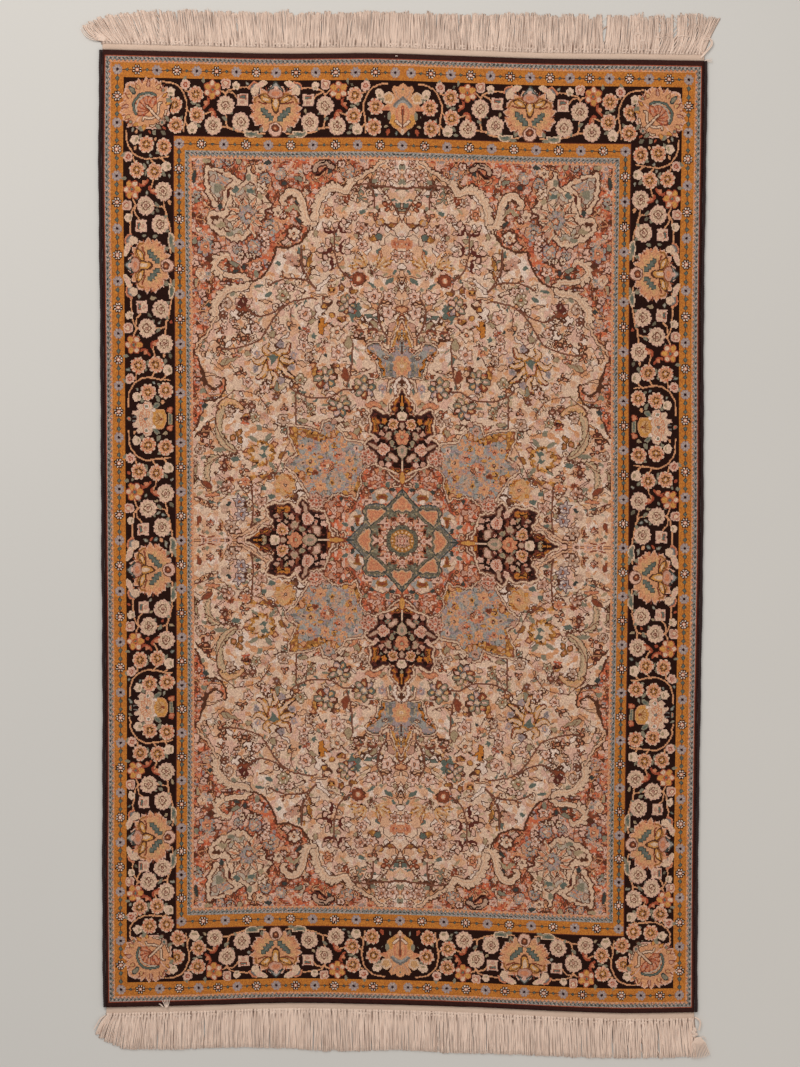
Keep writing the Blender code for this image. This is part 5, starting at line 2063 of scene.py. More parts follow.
    def draw(self) -> None:
        """Draws the stems first, then leaves and flowers, then what fills the gaps."""
        c, s = self.chart, Sprigs(self.chart)
        for k, (_, points) in enumerate(self.STEMS):
            s.foliage(points, k)
        c.waver = 0.6
        for width, points in self.STEMS:
            c.line(HEART, points, max(width - 1.3, 0.9), BARK if width > 1.9 else UMBER)
        c.waver = 1.5
        c.line(HEART, [(0, 532), (30, 534), (58, 534)], 1.8, BARK)
        for x, y, a, b in self.DABS:
            c.fill(spot(x, y), 12, oval(a, b), (-0.9, UMBER), (0.2, AMBER))
        for x, y, length, width, turn, yarn in self.LEAVES:
            place = spot(x, y, turn).at(0, -length / 2)
            if yarn in (OLIVE, RUST, OCHRE, SALMON, PINK):
                s.edged_leaf(place, length, width, yarn)
            else:
                s.leaf(place, length, width, yarn)
        c.cell(spot(180, 85), 24, lobed(18.5, 9, 0.2), SAND, APRICOT)
        c.fronds((APRICOT,), GOLD, AMBER, 5.5, 0.25, 321, 30)
        for kind, x, y, r, turn, *yarn in self.BLOOMS:
            getattr(s, kind)(spot(x, y, turn), r, *yarn)
        c.fill(spot(215, 133), 24, toothed(20, 10, 0.25), (-1.0, OCHRE), (0.4, AMBER), (4, CREAM))
        c.fill(spot(212, 135), 14, outline([(-6, 10), (4, 8), (8, 2), (9, -2), (4, -8), (-6, -10), (-2, 0)],
                                           False), TEAL)
        c.fill(spot(219, 135), 10, oval(6, 4), CREAM)
        s.acanthus(((284, 128), (293, 122), (298, 112), (299, 100), (295, 92, 0.5)), 7.5, 1, FAWN)
        s.acanthus(((257, 137), (270, 144), (280, 156), (283, 172), (281, 190), (276, 203, 0.4)), 8.5, 1,
                   FAWN)
        s.acanthus(((247, 203), (256, 212), (270, 213), (282, 204, 0.5)), 7.0, -1, APRICOT)
        c.fill(spot(122, 325), 16, outline([(-11, 6), (-3, 4), (-1, 13), (5, 12), (5, -10), (0, -13),
                                            (-3, -2)], False), (-1.0, BARK), GOLD)
        c.waver = 0.6
        for width, points in self.STEMS:
            c.line(HEART, points, 2.7 if width > 1.9 else 1.5, UMBER)
        c.cell(spot(66, 397), 14, lobed(11.0, 9, 0.16), BARK, RUST)
        c.fill(spot(66, 397), 8, disc(4.6), SALMON, (1.6, CREAM))
        c.waver = 1.5
        self.draw_great_lily()
        self.draw_crown()
        self.draw_side_tip()


def draw_field() -> Chart:
    """Draws one quarter of the field.

    Returns:
        Its chart, with the medallion's middle at its corner.
    """
    quarter = Chart((0, 330.2), (0, 584.2), IVORY, waver=1.5)
    flora = Flora(quarter)
    flora.draw()
    flora.draw_strays()
    flora.draw_mottles()
    Spandrel(quarter).draw()
    Cartouche(quarter).draw()
    Medallion(quarter).draw()
    return quarter


def draw_rug() -> Array:
    """Draws the whole chart: borders round the field, then the mirror image to the left.

    Returns:
        The yarn of each knot; rows run from the near end to the far end.
    """
    half = Chart((0, HALF_WIDTH), (-HALF_LENGTH, HALF_LENGTH), IVORY)
    borders = Borders(half)
    borders.draw()
    quarter = draw_field()
    wide, tall = borders.ring(borders.inner_peach)
    columns, rows = half.x < wide, np.abs(half.y) < tall
    take_x = np.floor(half.x[columns] / KNOT).astype(int)
    take_y = np.floor(np.abs(half.y[rows]) / KNOT).astype(int)
    half.knots[np.ix_(rows, columns)] = quarter.knots[np.ix_(take_y, take_x)]
    return np.concatenate([half.knots[:, ::-1], half.knots], axis=1)


# ---------------------------------------------------------------------------
# Meshes
# ---------------------------------------------------------------------------

WEAVE_MAP = "weave"  # counts squares of KNOTS_A_SIDE knots across and along the rug
BAKE_MAP = "OFBake"  # a flat map of the whole sheet, for baking its colours
KNOT_DATA = "knot_yarns"
TONE_DATA = "tone"
KNOTS_A_SIDE = 4  # knots along each side of one face of the pile
YARN_BASE = 32  # the base in which a face writes its knots' yarns
BAKED_DESIGN = 0.985  # the share of the baked map's height that the design takes


def linear(hex_colour: str) -> tuple[float, float, float, float]:
    """Turns an sRGB hex colour into linear RGBA.

    Args:
        hex_colour: Six hex digits.

    Returns:
        Linear red, green, blue and an alpha of 1.
    """
    parts = [int(hex_colour[i : i + 2], 16) / 255 for i in (0, 2, 4)]
    red, green, blue = (c / 12.92 if c <= 0.04045 else ((c + 0.055) / 1.055) ** 2.4 for c in parts)
    return red, green, blue, 1.0


def make_piece(
    name: str, points: Array, faces: Sequence[Array], materials: Sequence[bpy.types.Material]
) -> Piece:
    """Puts arrays into a mesh and makes it a piece at the origin.

    Args:
        name: The piece's name.
        points: Its vertices in metres, one row each.
        faces: Arrays of vertex numbers, each with one face a row; one array for each count of corners.
        materials: The materials in its slots.

    Returns:
        The piece, linked into the scene and riding on the rug's only body.
    """
    mesh = bpy.data.meshes.new(name)
    counts = np.concatenate([np.full(len(f), f.shape[1]) for f in faces])
    corners = np.concatenate([f.ravel() for f in faces]).astype(np.int32)
    mesh.vertices.add(len(points))
    mesh.vertices.foreach_set("co", np.ascontiguousarray(points, np.float32).ravel())
    mesh.loops.add(len(corners))
    mesh.loops.foreach_set("vertex_index", corners)
    mesh.polygons.add(len(counts))
    mesh.polygons.foreach_set("loop_start", (np.cumsum(counts) - counts).astype(np.int32))
    mesh.polygons.foreach_set("loop_total", counts.astype(np.int32))
    mesh.update(calc_edges=True)
    mesh.validate()
    for material in materials:
        mesh.materials.append(material)
    piece = bpy.data.objects.new(name, mesh)
    bpy.context.scene.collection.objects.link(piece)
    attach(piece, "root")
    log.info("%s: %d faces", name, len(counts))
    return piece


def corner_numbers(mesh: bpy.types.Mesh) -> Array:
    """The vertex number of each face corner of a mesh.

    Args:
        mesh: The mesh.

    Returns:
        A vertex number for each corner.
    """
    found = np.empty(len(mesh.loops), np.int32)
    mesh.loops.foreach_get("vertex_index", found)
    return found


def add_map(mesh: bpy.types.Mesh, name: str, places: Array) -> None:
    """Gives a mesh a UV map, from one place for each face corner."""
    layer = mesh.uv_layers.new(name=name)
    layer.uv.foreach_set("vector", np.ascontiguousarray(places, np.float32).ravel())


def shade_smooth(mesh: bpy.types.Mesh) -> None:
    """Shades a whole mesh smoothly."""
    mesh.polygons.foreach_set("use_smooth", np.ones(len(mesh.polygons), bool))


def add_tone(mesh: bpy.types.Mesh, tones: Array) -> None:
    """Gives a mesh's vertices a number from 0 to 1 that its yarn's shade follows: random tone, and in the
    fringe also painted shade between tassels and under the upper strands.
    """
    data = mesh.attributes.new(TONE_DATA, "FLOAT", "POINT")
    data.data.foreach_set("value", np.ascontiguousarray(tones, np.float32))


def grid_faces(rows: int, columns: int, closed: bool = False) -> Array:
    """The quads of a grid of vertices numbered row by row.

    Args:
        rows: How many rows of vertices there are.
        columns: How many vertices a row has.
        closed: Whether each row's last vertex joins its first.

    Returns:
        Four vertex numbers a face, anticlockwise where rows run up and columns right.
    """
    j, i = np.meshgrid(np.arange(rows - 1), np.arange(columns if closed else columns - 1), indexing="ij")
    following = (i + 1) % columns
    quads = np.stack([j * columns + i, j * columns + following, (j + 1) * columns + following,
                      (j + 1) * columns + i], -1)
    return quads.reshape(-1, 4)


def tubes(paths: Array, radii: Array, sides: int) -> tuple[Array, list[Array]]:
    """Round tubes with closed ends along many paths that have the same count of points.

    Each ring is centre + radius (cos a * sideways + sin a * up), where sideways is level and
    square to the path; one point a little beyond each end closes it.

    Args:
        paths: Points as tubes x points x 3, in metres.
        radii: A radius a point, tubes x points.
        sides: Corners of the tube's cross-section.

    Returns:
        The vertices, and arrays of quads and of triangles.
    """
    count, steps, _ = paths.shape
    ahead = np.gradient(paths, axis=1)
    ahead /= np.linalg.norm(ahead, axis=2, keepdims=True) + 1e-12
    sideways = np.cross(ahead, [0.0, 0.0, 1.0])
    sideways /= np.linalg.norm(sideways, axis=2, keepdims=True) + 1e-12
    up = np.cross(sideways, ahead)
    angles = np.arange(sides) * 2 * math.pi / sides
    ring = np.cos(angles)[:, None] * sideways[:, :, None, :] + np.sin(angles)[:, None] * up[:, :, None, :]
    rings = paths[:, :, None, :] + radii[:, :, None, None] * ring
    tips = paths[:, [0, -1]] + radii[:, [0, -1], None] * ahead[:, [0, -1]] * np.array([[-0.6], [0.6]])
    per = steps * sides + 2
    points = np.concatenate([rings.reshape(count, -1, 3), tips], axis=1).reshape(-1, 3)
    start = np.arange(count)[:, None, None] * per
    quads = (grid_faces(steps, sides, closed=True)[None] + start).reshape(-1, 4)
    i = np.arange(sides)
    following = (i + 1) % sides
    foot = np.stack([following, i, np.full(sides, steps * sides)], -1)
    last = (steps - 1) * sides
    head = np.stack([last + i, last + following, np.full(sides, steps * sides + 1)], -1)
    caps = (np.concatenate([foot, head])[None] + start).reshape(-1, 3)
    return points, [quads[:, ::-1], caps[:, ::-1]]


# ---------------------------------------------------------------------------
# Finishes
# ---------------------------------------------------------------------------


def add(
    tree: bpy.types.NodeTree, kind: str, inputs: dict[Any, Any] | None = None, **settings: Any
) -> bpy.types.Node:
    """Adds a node with its settings and links.

    Args:
        tree: The node tree.
        kind: The node's type, without its ShaderNode prefix.
        inputs: A value, or an output to link, for each input's name or number.
        settings: The node's own settings.

    Returns:
        The node.
    """
    node = tree.nodes.new("ShaderNode" + kind)
    for name, value in settings.items():
        setattr(node, name, value)
    for name, value in (inputs or {}).items():
        if isinstance(value, bpy.types.NodeSocket):
            tree.links.new(value, node.inputs[name])
        else:
            node.inputs[name].default_value = value
    return node


def start_material(name: str) -> tuple[bpy.types.Material, bpy.types.NodeTree, bpy.types.Node]:
    """A new material with its node tree and its Principled shader.

    Args:
        name: Its name.

    Returns:
        The material, its node tree and the shader.
    """
    material = bpy.data.materials.new(name)
    material.use_nodes = True
    tree = material.node_tree
    return material, tree, next(n for n in tree.nodes if n.type == "BSDF_PRINCIPLED")


def calc(tree: bpy.types.NodeTree, operation: str, *values: Any) -> Any:
    """The result of a Math node on up to three numbers or outputs."""
    return add(tree, "Math", dict(enumerate(values)), operation=operation).outputs[0]


class Side(Enum):
    """The two faces of the knotted sheet."""

    PILE = "cut silk pile"
    BACK = "knotted back"


@dataclass(frozen=True)
class SilkKnots:
    """Silk knotted in many colours.

    On the pile side each knot is a cut tuft: matt at its tips with a low silky sheen, and its
    colour uneven from tuft to tuft. On the back each knot shows as a small firm node, and the
    same design is crisper and a little darker.

    Args:
        side: Which face of the rug it dresses.
        sheen: The silk's sheen at a glancing angle.
        roughness: Higher for cut tips than for the drawn threads of the back.
        knot_shade: How far single knots differ in lightness.
        streak_shade: How far the tufts' nap is streaked along the rug, partly random tone and partly painted
            light and shade.
        patch_shade: How far dye lots differ from row to row.
        relief: The depth of the knots' relief, in metres.
    """

    side: Side
    sheen: float = 0.02
    roughness: float = 0.66
    knot_shade: float = 0.44
    streak_shade: float = 0.48
    patch_shade: float = 0.10
    relief: float = 0.0006

    def yarn_colour(self, tree: bpy.types.NodeTree) -> tuple[Any, Any]:
        """Reads each knot's yarn from its face and turns it into that yarn's colour.

        A face holds 4 x 4 knots as four numbers, one for each row of knots. A number's base-32
        digits are that row's yarns, so a knot's yarn is floor(number / 32**column) mod 32.

        Args:
            tree: The material's nodes.

        Returns:
            The colour, and the knot's place in whole knots.
        """
        weave = add(tree, "UVMap", uv_map=WEAVE_MAP).outputs[0]
        across = add(tree, "SeparateXYZ", {0: weave}).outputs
        column, row = (
            calc(tree, "FLOOR", calc(tree, "MULTIPLY", calc(tree, "FRACT", across[i]),
                                     KNOTS_A_SIDE)) for i in (0, 1)
        )
        data = add(tree, "Attribute", attribute_name=KNOT_DATA)
        rows = [*add(tree, "SeparateColor", {0: data.outputs["Color"]}).outputs, data.outputs["Alpha"]]
        number, scale = rows[0], 1.0
        for k in (1, 2, 3):
            past = calc(tree, "GREATER_THAN", row, k - 0.5)
            number = add(tree, "Mix", {0: past, 2: number, 3: rows[k]}).outputs[0]
            past = calc(tree, "GREATER_THAN", column, k - 0.5)
            share = add(tree, "Mix", {0: past, 2: 1.0, 3: 1 / YARN_BASE}).outputs[0]
            scale = share if k == 1 else calc(tree, "MULTIPLY", scale, share)
        digit = calc(tree, "FLOORED_MODULO", calc(tree, "FLOOR", calc(tree, "MULTIPLY", number, scale)),
                     YARN_BASE)
        place = calc(tree, "DIVIDE", calc(tree, "ADD", digit, 0.5), YARN_BASE)
        ramp = add(tree, "ValToRGB", {0: place})
        ramp.color_ramp.interpolation = "CONSTANT"
        stops = ramp.color_ramp.elements
        stops[0].color = linear(YARN_HEX[NIGHT])
        stops[1].position = 1 / YARN_BASE
        stops[1].color = linear(YARN_HEX[MAROON])
        for yarn in list(Yarn)[2:]:
            stops.new(int(yarn) / YARN_BASE).color = linear(YARN_HEX[yarn])
        knots = add(tree, "VectorMath", {0: weave, 1: (KNOTS_A_SIDE,) * 3}, operation="MULTIPLY").outputs[0]
        return ramp.outputs[0], knots

    def material(self) -> bpy.types.Material:
        """Builds the finish: yarn colour, uneven tones, and the knots' relief.

        Returns:
            The material.
        """
        material, tree, shader = start_material(f"{self.side.value} of silk".replace(" ", "_"))
        colour, knots = self.yarn_colour(tree)
        cell = add(tree, "VectorMath", {0: knots}, operation="FLOOR").outputs[0]
        single = add(tree, "TexWhiteNoise", {"Vector": cell}, noise_dimensions="2D")
        # The nap: tufts a knot wide that lean along the rug for about three knots. Its streaks are partly
        # random tone and partly painted light and shade, as leaning tufts catch the light.
        nap = add(tree, "Mapping", {"Vector": knots, "Scale": (0.95, 0.38, 1.0)}).outputs[0]
        streak = add(tree, "TexNoise", {"Vector": nap, "Scale": 1.0, "Detail": 2.0, "Roughness": 0.7},
                     noise_dimensions="2D").outputs[0]
        # Dye lots change along the rug, and hardly across it.
        lots = add(tree, "Mapping", {"Vector": knots, "Scale": (0.006, 0.045, 1.0)}).outputs[0]
        lot = add(tree, "TexNoise", {"Vector": lots, "Scale": 1.0, "Detail": 2.0},
                  noise_dimensions="2D").outputs[0]
        value = calc(tree, "MULTIPLY_ADD", single.outputs["Value"], self.knot_shade, 1 - self.knot_shade / 2)
        for noise, shade in ((streak, self.streak_shade), (lot, self.patch_shade)):
            value = calc(tree, "MULTIPLY", value, calc(tree, "MULTIPLY_ADD", noise, 2 * shade, 1 - shade))
        hue = calc(tree, "MULTIPLY_ADD", single.outputs["Value"], 0.012, 0.494)
        toned = add(tree, "HueSaturation", {"Color": colour, "Value": value, "Hue": hue})
        tree.links.new(toned.outputs[0], shader.inputs["Base Color"])
        # A knot's top: a low mound over each cell, 1 at its middle and falling to its edges.
        inside = add(tree, "VectorMath", {0: knots}, operation="FRACTION").outputs[0]
        axes = add(tree, "SeparateXYZ", {0: inside}).outputs
        mounds = [calc(tree, "SINE", calc(tree, "MULTIPLY", axes[i], math.pi)) for i in (0, 1)]
        mound = calc(tree, "MULTIPLY", *mounds)
        firm = 1.0 if self.side is Side.BACK else 0.45
        height = calc(tree, "MULTIPLY_ADD", mound, firm, calc(tree, "MULTIPLY", streak, 1.4 - firm))
        bump = add(tree, "Bump", {"Height": height, "Distance": self.relief, "Strength": 0.8})
        tree.links.new(bump.outputs[0], shader.inputs["Normal"])
        shader.inputs["Roughness"].default_value = self.roughness
        shader.inputs["IOR"].default_value = 1.54  # silk
        shader.inputs["Specular IOR Level"].default_value = 0.08
        shader.inputs["Sheen Weight"].default_value = self.sheen
        shader.inputs["Sheen Roughness"].default_value = 0.45
        shader.inputs["Sheen Tint"].default_value = linear("F2DCC8")
        return material


class Lay(Enum):
    """How a plain yarn lies in its piece."""

    WOUND = "wound"
    WOVEN = "woven"
    LOOSE = "loose"


@dataclass(frozen=True)
class PlainYarn:
    """One yarn of an even colour, wound over a cord, woven flat or left loose.

    Args:
        name: The material's name.
        colour: Its sRGB colour.
        shade: The sRGB colour of the painted shade in its hollows, and of its soiled places.
        lay: How the yarn lies.
        pitch: The spacing of its turns or threads, in metres.
        roughness: Cotton is duller than silk.
        relief: The depth of its relief, in metres.
        sheen: Its sheen at a glancing angle.
    """

    name: str
    colour: str
    shade: str
    lay: Lay
    pitch: float
    roughness: float = 0.8
    relief: float = 0.0003
    sheen: float = 0.15

    def material(self) -> bpy.types.Material:
        """Builds the finish: threads as waves in the piece's own place, painted darker in the hollows between
        them, and soft soiling.

        Returns:
            The material.
        """
        material, tree, shader = start_material(self.name)
        place = add(tree, "TexCoord").outputs["Object"]
        waves = []
        turns = {Lay.WOUND: ((0.0, 1.0),), Lay.WOVEN: ((1.0, 0.0), (0.0, 1.0)),
                 Lay.LOOSE: ((0.5, 0.9),)}[self.lay]
        for across, along in turns:
            threads = add(tree, "Mapping", {"Vector": place,
                                            "Scale": (across / self.pitch, along / self.pitch, 0.0)})
            axes = add(tree, "SeparateXYZ", {0: threads.outputs[0]}).outputs
            turn = calc(tree, "MULTIPLY", calc(tree, "ADD", axes[0], axes[1]), 2 * math.pi)
            waves.append(calc(tree, "MULTIPLY_ADD", calc(tree, "SINE", turn), 0.5, 0.5))
        thread = waves[0] if len(waves) == 1 else calc(tree, "MAXIMUM", *waves)
        soil = add(tree, "TexNoise", {"Vector": place, "Scale": 38.0, "Detail": 3.0}).outputs[0]
        fine = add(tree, "TexNoise", {"Vector": place, "Scale": 900.0, "Detail": 2.0}).outputs[0]
        tone = add(tree, "Attribute", attribute_name=TONE_DATA).outputs["Fac"]
        # Painted shade: the colour falls toward the shade colour in the hollows between threads and where the
        # tone carries painted shade; the soil noise is uneven soiling.
        bright = calc(tree, "MULTIPLY_ADD", thread, 0.30, calc(tree, "MULTIPLY", soil, 0.35))
        bright = calc(tree, "ADD", bright, calc(tree, "MULTIPLY", tone, 0.45))
        bright = calc(tree, "ADD", bright, calc(tree, "MULTIPLY_ADD", fine, 0.3, -0.15))
        mixed = add(tree, "Mix", {0: bright, 6: linear(self.shade), 7: linear(self.colour)}, data_type="RGBA",
                    clamp_factor=True)
        tree.links.new(mixed.outputs[2], shader.inputs["Base Color"])
        bump = add(tree, "Bump", {"Height": calc(tree, "MULTIPLY_ADD", fine, 0.4, thread),
                                  "Distance": self.relief, "Strength": 0.7})
        tree.links.new(bump.outputs[0], shader.inputs["Normal"])
        shader.inputs["Roughness"].default_value = self.roughness
        shader.inputs["Specular IOR Level"].default_value = 0.25
        shader.inputs["Sheen Weight"].default_value = self.sheen
        shader.inputs["Sheen Roughness"].default_value = 0.5
        return material


@dataclass(frozen=True)
class MattFloor:
    """A pale painted studio floor, very slightly uneven."""

    colour: str = "D9D6D1"
    shade: str = "D2CFCA"

    def material(self) -> bpy.types.Material:
        """Builds the finish: two close greys in soft patches.

        Returns:
            The material.
        """
        material, tree, shader = start_material("matt_studio_paint")
        place = add(tree, "TexCoord").outputs["Object"]
        patches = add(tree, "TexNoise", {"Vector": place, "Scale": 1.5, "Detail": 3.0}).outputs[0]
        mixed = add(tree, "Mix", {0: patches, 6: linear(self.shade), 7: linear(self.colour)},
                    data_type="RGBA")
        tree.links.new(mixed.outputs[2], shader.inputs["Base Color"])
        grain = add(tree, "TexNoise", {"Vector": place, "Scale": 300.0}).outputs[0]
        bump = add(tree, "Bump", {"Height": grain, "Distance": 0.0002, "Strength": 0.3})
        tree.links.new(bump.outputs[0], shader.inputs["Normal"])
        shader.inputs["Roughness"].default_value = 0.9
        return material


# ---------------------------------------------------------------------------
# The rug's pieces
# ---------------------------------------------------------------------------


@dataclass
class Loom:
    """Where the chart's knots came to lie on the woven rug, whose edges wander a little.

    Args:
        left: The pile's left edge, x at even shares of its length, in metres.
        right: The same for the right edge.
        near: The pile's near edge, y at even shares of its width.
        far: The same for the far edge.
        middle: The share of the length at which the medallion's middle lies.
    """

    left: Array
    right: Array
    near: Array
    far: Array
    middle: float = 0.4876

    @classmethod
    def from_cad(cls, node: bpy.types.Object) -> Loom:
        """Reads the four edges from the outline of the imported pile.

        Args:
            node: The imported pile, whose outline is read.

        Returns:
            A loom with those edges.
        """
        low, high = (np.array(corner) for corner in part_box(node.name))
        points = np.array([v.co for v in node.data.vertices])[:, :2]
        points = np.unique(np.round(points, 6), axis=0)
        edge = 0.030  # an edge's corners lie nearer its side of the box than this

        def read(near_edge: Array, axis: int) -> Array:
            """One edge's places, in order along it."""
            found = points[near_edge]
            return found[np.argsort(found[:, 1 - axis]), axis]

        return cls(
            read(points[:, 0] < low[0] + edge, 0),
            read(points[:, 0] > high[0] - edge, 0),
            read(points[:, 1] < low[1] + edge, 1),
            read(points[:, 1] > high[1] - edge, 1),
        )

    @staticmethod
    def along_edge(edge: Array, share: Array) -> Array:
        """Reads an edge at some shares of its length, with its corners softened.

        It is the mean of straight readings at the share and a little to each side of it.
        """
        stations = np.linspace(0, 1, len(edge))
        return sum(np.interp(share + step, stations, edge) for step in (-0.012, 0.0, 0.012)) / 3

    def place(self, across: Array, along: Array) -> tuple[Array, Array]:
        """Where a point of the chart lies.

        Args:
            across: Its share of the pile's width, from 0 to 1.
            along: Its share of the knotted rows, from -1 to 1; it is 0 at the medallion.

        Returns:
            x and y in metres. The rows' share v of the length is a parabola through 0, middle
            and 1, then x = left(v) + across (right(v) - left(v)), and y likewise.
        """
        v = self.middle + 0.5 * along + (0.5 - self.middle) * along**2
        left, right = (self.along_edge(edge, v) for edge in (self.left, self.right))
        near, far = (self.along_edge(edge, across) for edge in (self.near, self.far))
        return left + across * (right - left), near + v * (far - near)


@dataclass
class KnottedPile:
    """The knotted silk sheet: its cut pile on top, and its knotted back beneath.

    Args:
        loom: Where the knots lie.
        knots: The yarn of each knot, rows from near to far.
        top: The height of the cut pile, in metres.
        foot: The height at which the pile's foot meets the back.
        swell: How far the sheet's slow waves rise.
        roll: How far the pile falls at its cut edge.
    """

    loom: Loom
    knots: Array
    top: float = 0.0048
    foot: float = 0.0012
    swell: float = 0.0011
    roll: float = 0.0012

    def yarn_numbers(self) -> Array:
        """Packs 4 x 4 knots into four numbers for each face, in base 32.

        Row r of a face's knots becomes sum over c of yarn(r, c) * 32**c.

        Returns:
            Four numbers a face.
        """
        rows, columns = (n // KNOTS_A_SIDE for n in self.knots.shape)
        blocks = self.knots.reshape(rows, KNOTS_A_SIDE, columns, KNOTS_A_SIDE).astype(np.int64)
        weights = YARN_BASE ** np.arange(KNOTS_A_SIDE)
        return (blocks * weights).sum(axis=3).transpose(0, 2, 1).reshape(-1, KNOTS_A_SIDE)

    def waves(self, x: Array, y: Array) -> Array:
        """The sheet's slow waves: sines of a few long wavelengths that cross each other.

        Args:
            x: Places across, in metres.
            y: Places along.

        Returns:
            Heights from about -1 to 1.
        """
        return (
            np.sin(x * 11.3 + 2.1 * np.sin(y * 7.1)) * np.sin(y * 9.7 + 1.3)
            + 0.5 * np.sin(y * 31.0 + 3.0 * np.sin(x * 5.3))
            + 0.35 * np.sin(x * 47.0 + y * 21.0)
        ) / 1.85

    def surface(self, side: Side) -> tuple[Array, Array]:
        """One face of the sheet as a grid.

        The pile's height is top + swell * waves, less roll where it nears an edge as
        exp(-distance / 2 mm); the back lies within a tenth of a millimetre of the floor.

        Args:
            side: Which face.

        Returns:
            The grid's points, rows x columns x 3, and each one's place in the weave.
        """
        rows, columns = (n // KNOTS_A_SIDE for n in self.knots.shape)
        i, j = np.meshgrid(np.arange(columns + 1.0), np.arange(rows + 1.0))
        x, y = self.loom.place(i / columns, 2 * j / rows - 1)
        if side is Side.BACK:
            z = np.full(x.shape, FLOOR_GAP) + 0.00005 * self.waves(x, y)
        else:
            off_edge = np.minimum.reduce([i, columns - i, j, rows - j]) * KNOTS_A_SIDE * KNOT * MM
            z = self.top + self.swell * (0.5 + 0.5 * self.waves(x, y)) - self.roll * np.exp(-off_edge / 0.002)
        return np.stack([x, y, z], -1), np.stack([i, j], -1)

    def close(self, grid: Array, level: float, outward: int) -> tuple[Array, list[Array]]:
        """Closes a face of the sheet into a thin slab.

        Args:
            grid: Its points.
            level: The height of the hidden flat face.
            outward: 1 where the grid faces up, and -1 where it faces down.

        Returns:
            The points and the arrays of faces: the grid's first, then the rim and the flat face.
        """
        rows, columns = grid.shape[:2]
        numbers = np.arange(rows * columns).reshape(rows, columns)
        ring = np.concatenate([numbers[0, :-1], numbers[:-1, -1], numbers[-1, :0:-1], numbers[:0:-1, 0]])
        lower = grid.reshape(-1, 3)[ring] * (1, 1, 0) + (0, 0, level)
        start = rows * columns
        below = start + np.arange(len(ring))
        rim = np.stack([ring, below, np.roll(below, -1), np.roll(ring, -1)], -1)
        left = below[np.r_[0, np.arange(len(ring) - 1, len(ring) - rows, -1)]]
        right = below[columns - 1 : columns - 1 + rows]
        flat = np.stack([left[1:-2], left[2:-1], right[2:-1], right[1:-2]], -1)
        near = np.concatenate([below[:columns], right[1:2], left[1:2]])[::-1][None]
        far = np.concatenate([right[-2:-1], below[columns + rows - 2 : 2 * columns + rows - 2],
                              left[-2:-1]])[::-1][None]
        faces = [grid_faces(rows, columns), np.concatenate([rim, flat]), near, far]
        if outward < 0:
            faces = [f[:, ::-1] for f in faces]
        return np.concatenate([grid.reshape(-1, 3), lower]), faces

    @staticmethod
    def bake_places(weave: Array, faces: Sequence[Array]) -> Array:
        """The flat map for baking: the design below, and above it the rim and the hidden face.

        Args:
            weave: Each grid vertex's place in the weave.
            faces: The arrays of faces that close() gives.

        Returns:
            A place for each face corner.
        """
        design = weave[faces[0]] / weave.max(axis=0) * (1, BAKED_DESIGN)
        cells = len(faces[1])
        square = np.array([[0, 0], [0, 1], [1, 1], [1, 0]])
        strip = (np.arange(cells)[:, None, None] * (1, 0) + square) / (cells, 1) * (1, 0.008) + (0, 0.990)
        loops = []
        for k, face in enumerate(faces[2:]):
            turn = np.linspace(0, 2 * math.pi, face.shape[1], endpoint=False)
            loops.append(np.stack([0.25 + 0.5 * k + 0.24 * np.cos(turn), 0.9875 + 0.001 * np.sin(turn)], -1))
        return np.concatenate([design.reshape(-1, 2), strip.reshape(-1, 2), *loops])

    def build(self, side: Side, name: str, finish: SilkKnots, edge: bpy.types.Material) -> Piece:
        """Makes one face of the sheet as a piece that carries the design.

        Args:
            side: Which face.
            name: The piece's name.
            finish: Its silk.
            edge: The material of its rim.

        Returns:
            The piece.
        """
        grid, weave = self.surface(side)
        points, faces = self.close(grid, self.foot, 1 if side is Side.PILE else -1)
        piece = make_piece(name, points, faces, [finish.material(), edge])
        mesh = piece.data
        shown = len(faces[0])
        # A leaf from its stalk along its up axis.
        slots = np.ones(len(mesh.polygons), np.int32)
        slots[:shown] = 0
        mesh.polygons.foreach_set("material_index", slots)
        flat_weave = weave.reshape(-1, 2)
        add_map(mesh, BAKE_MAP, self.bake_places(flat_weave, faces))
        hidden = np.zeros((len(points) - len(flat_weave), 2))
        add_map(mesh, WEAVE_MAP, np.concatenate([flat_weave, hidden])[corner_numbers(mesh)])
        numbers = np.zeros((len(mesh.polygons), KNOTS_A_SIDE), np.float32)
        numbers[:shown] = self.yarn_numbers()
        mesh.attributes.new(KNOT_DATA, "FLOAT_COLOR", "FACE").data.foreach_set("color", numbers.ravel())
        smooth_faces = np.zeros(len(mesh.polygons), bool)
        smooth_faces[:shown] = True
        mesh.polygons.foreach_set("use_smooth", smooth_faces)
        return piece


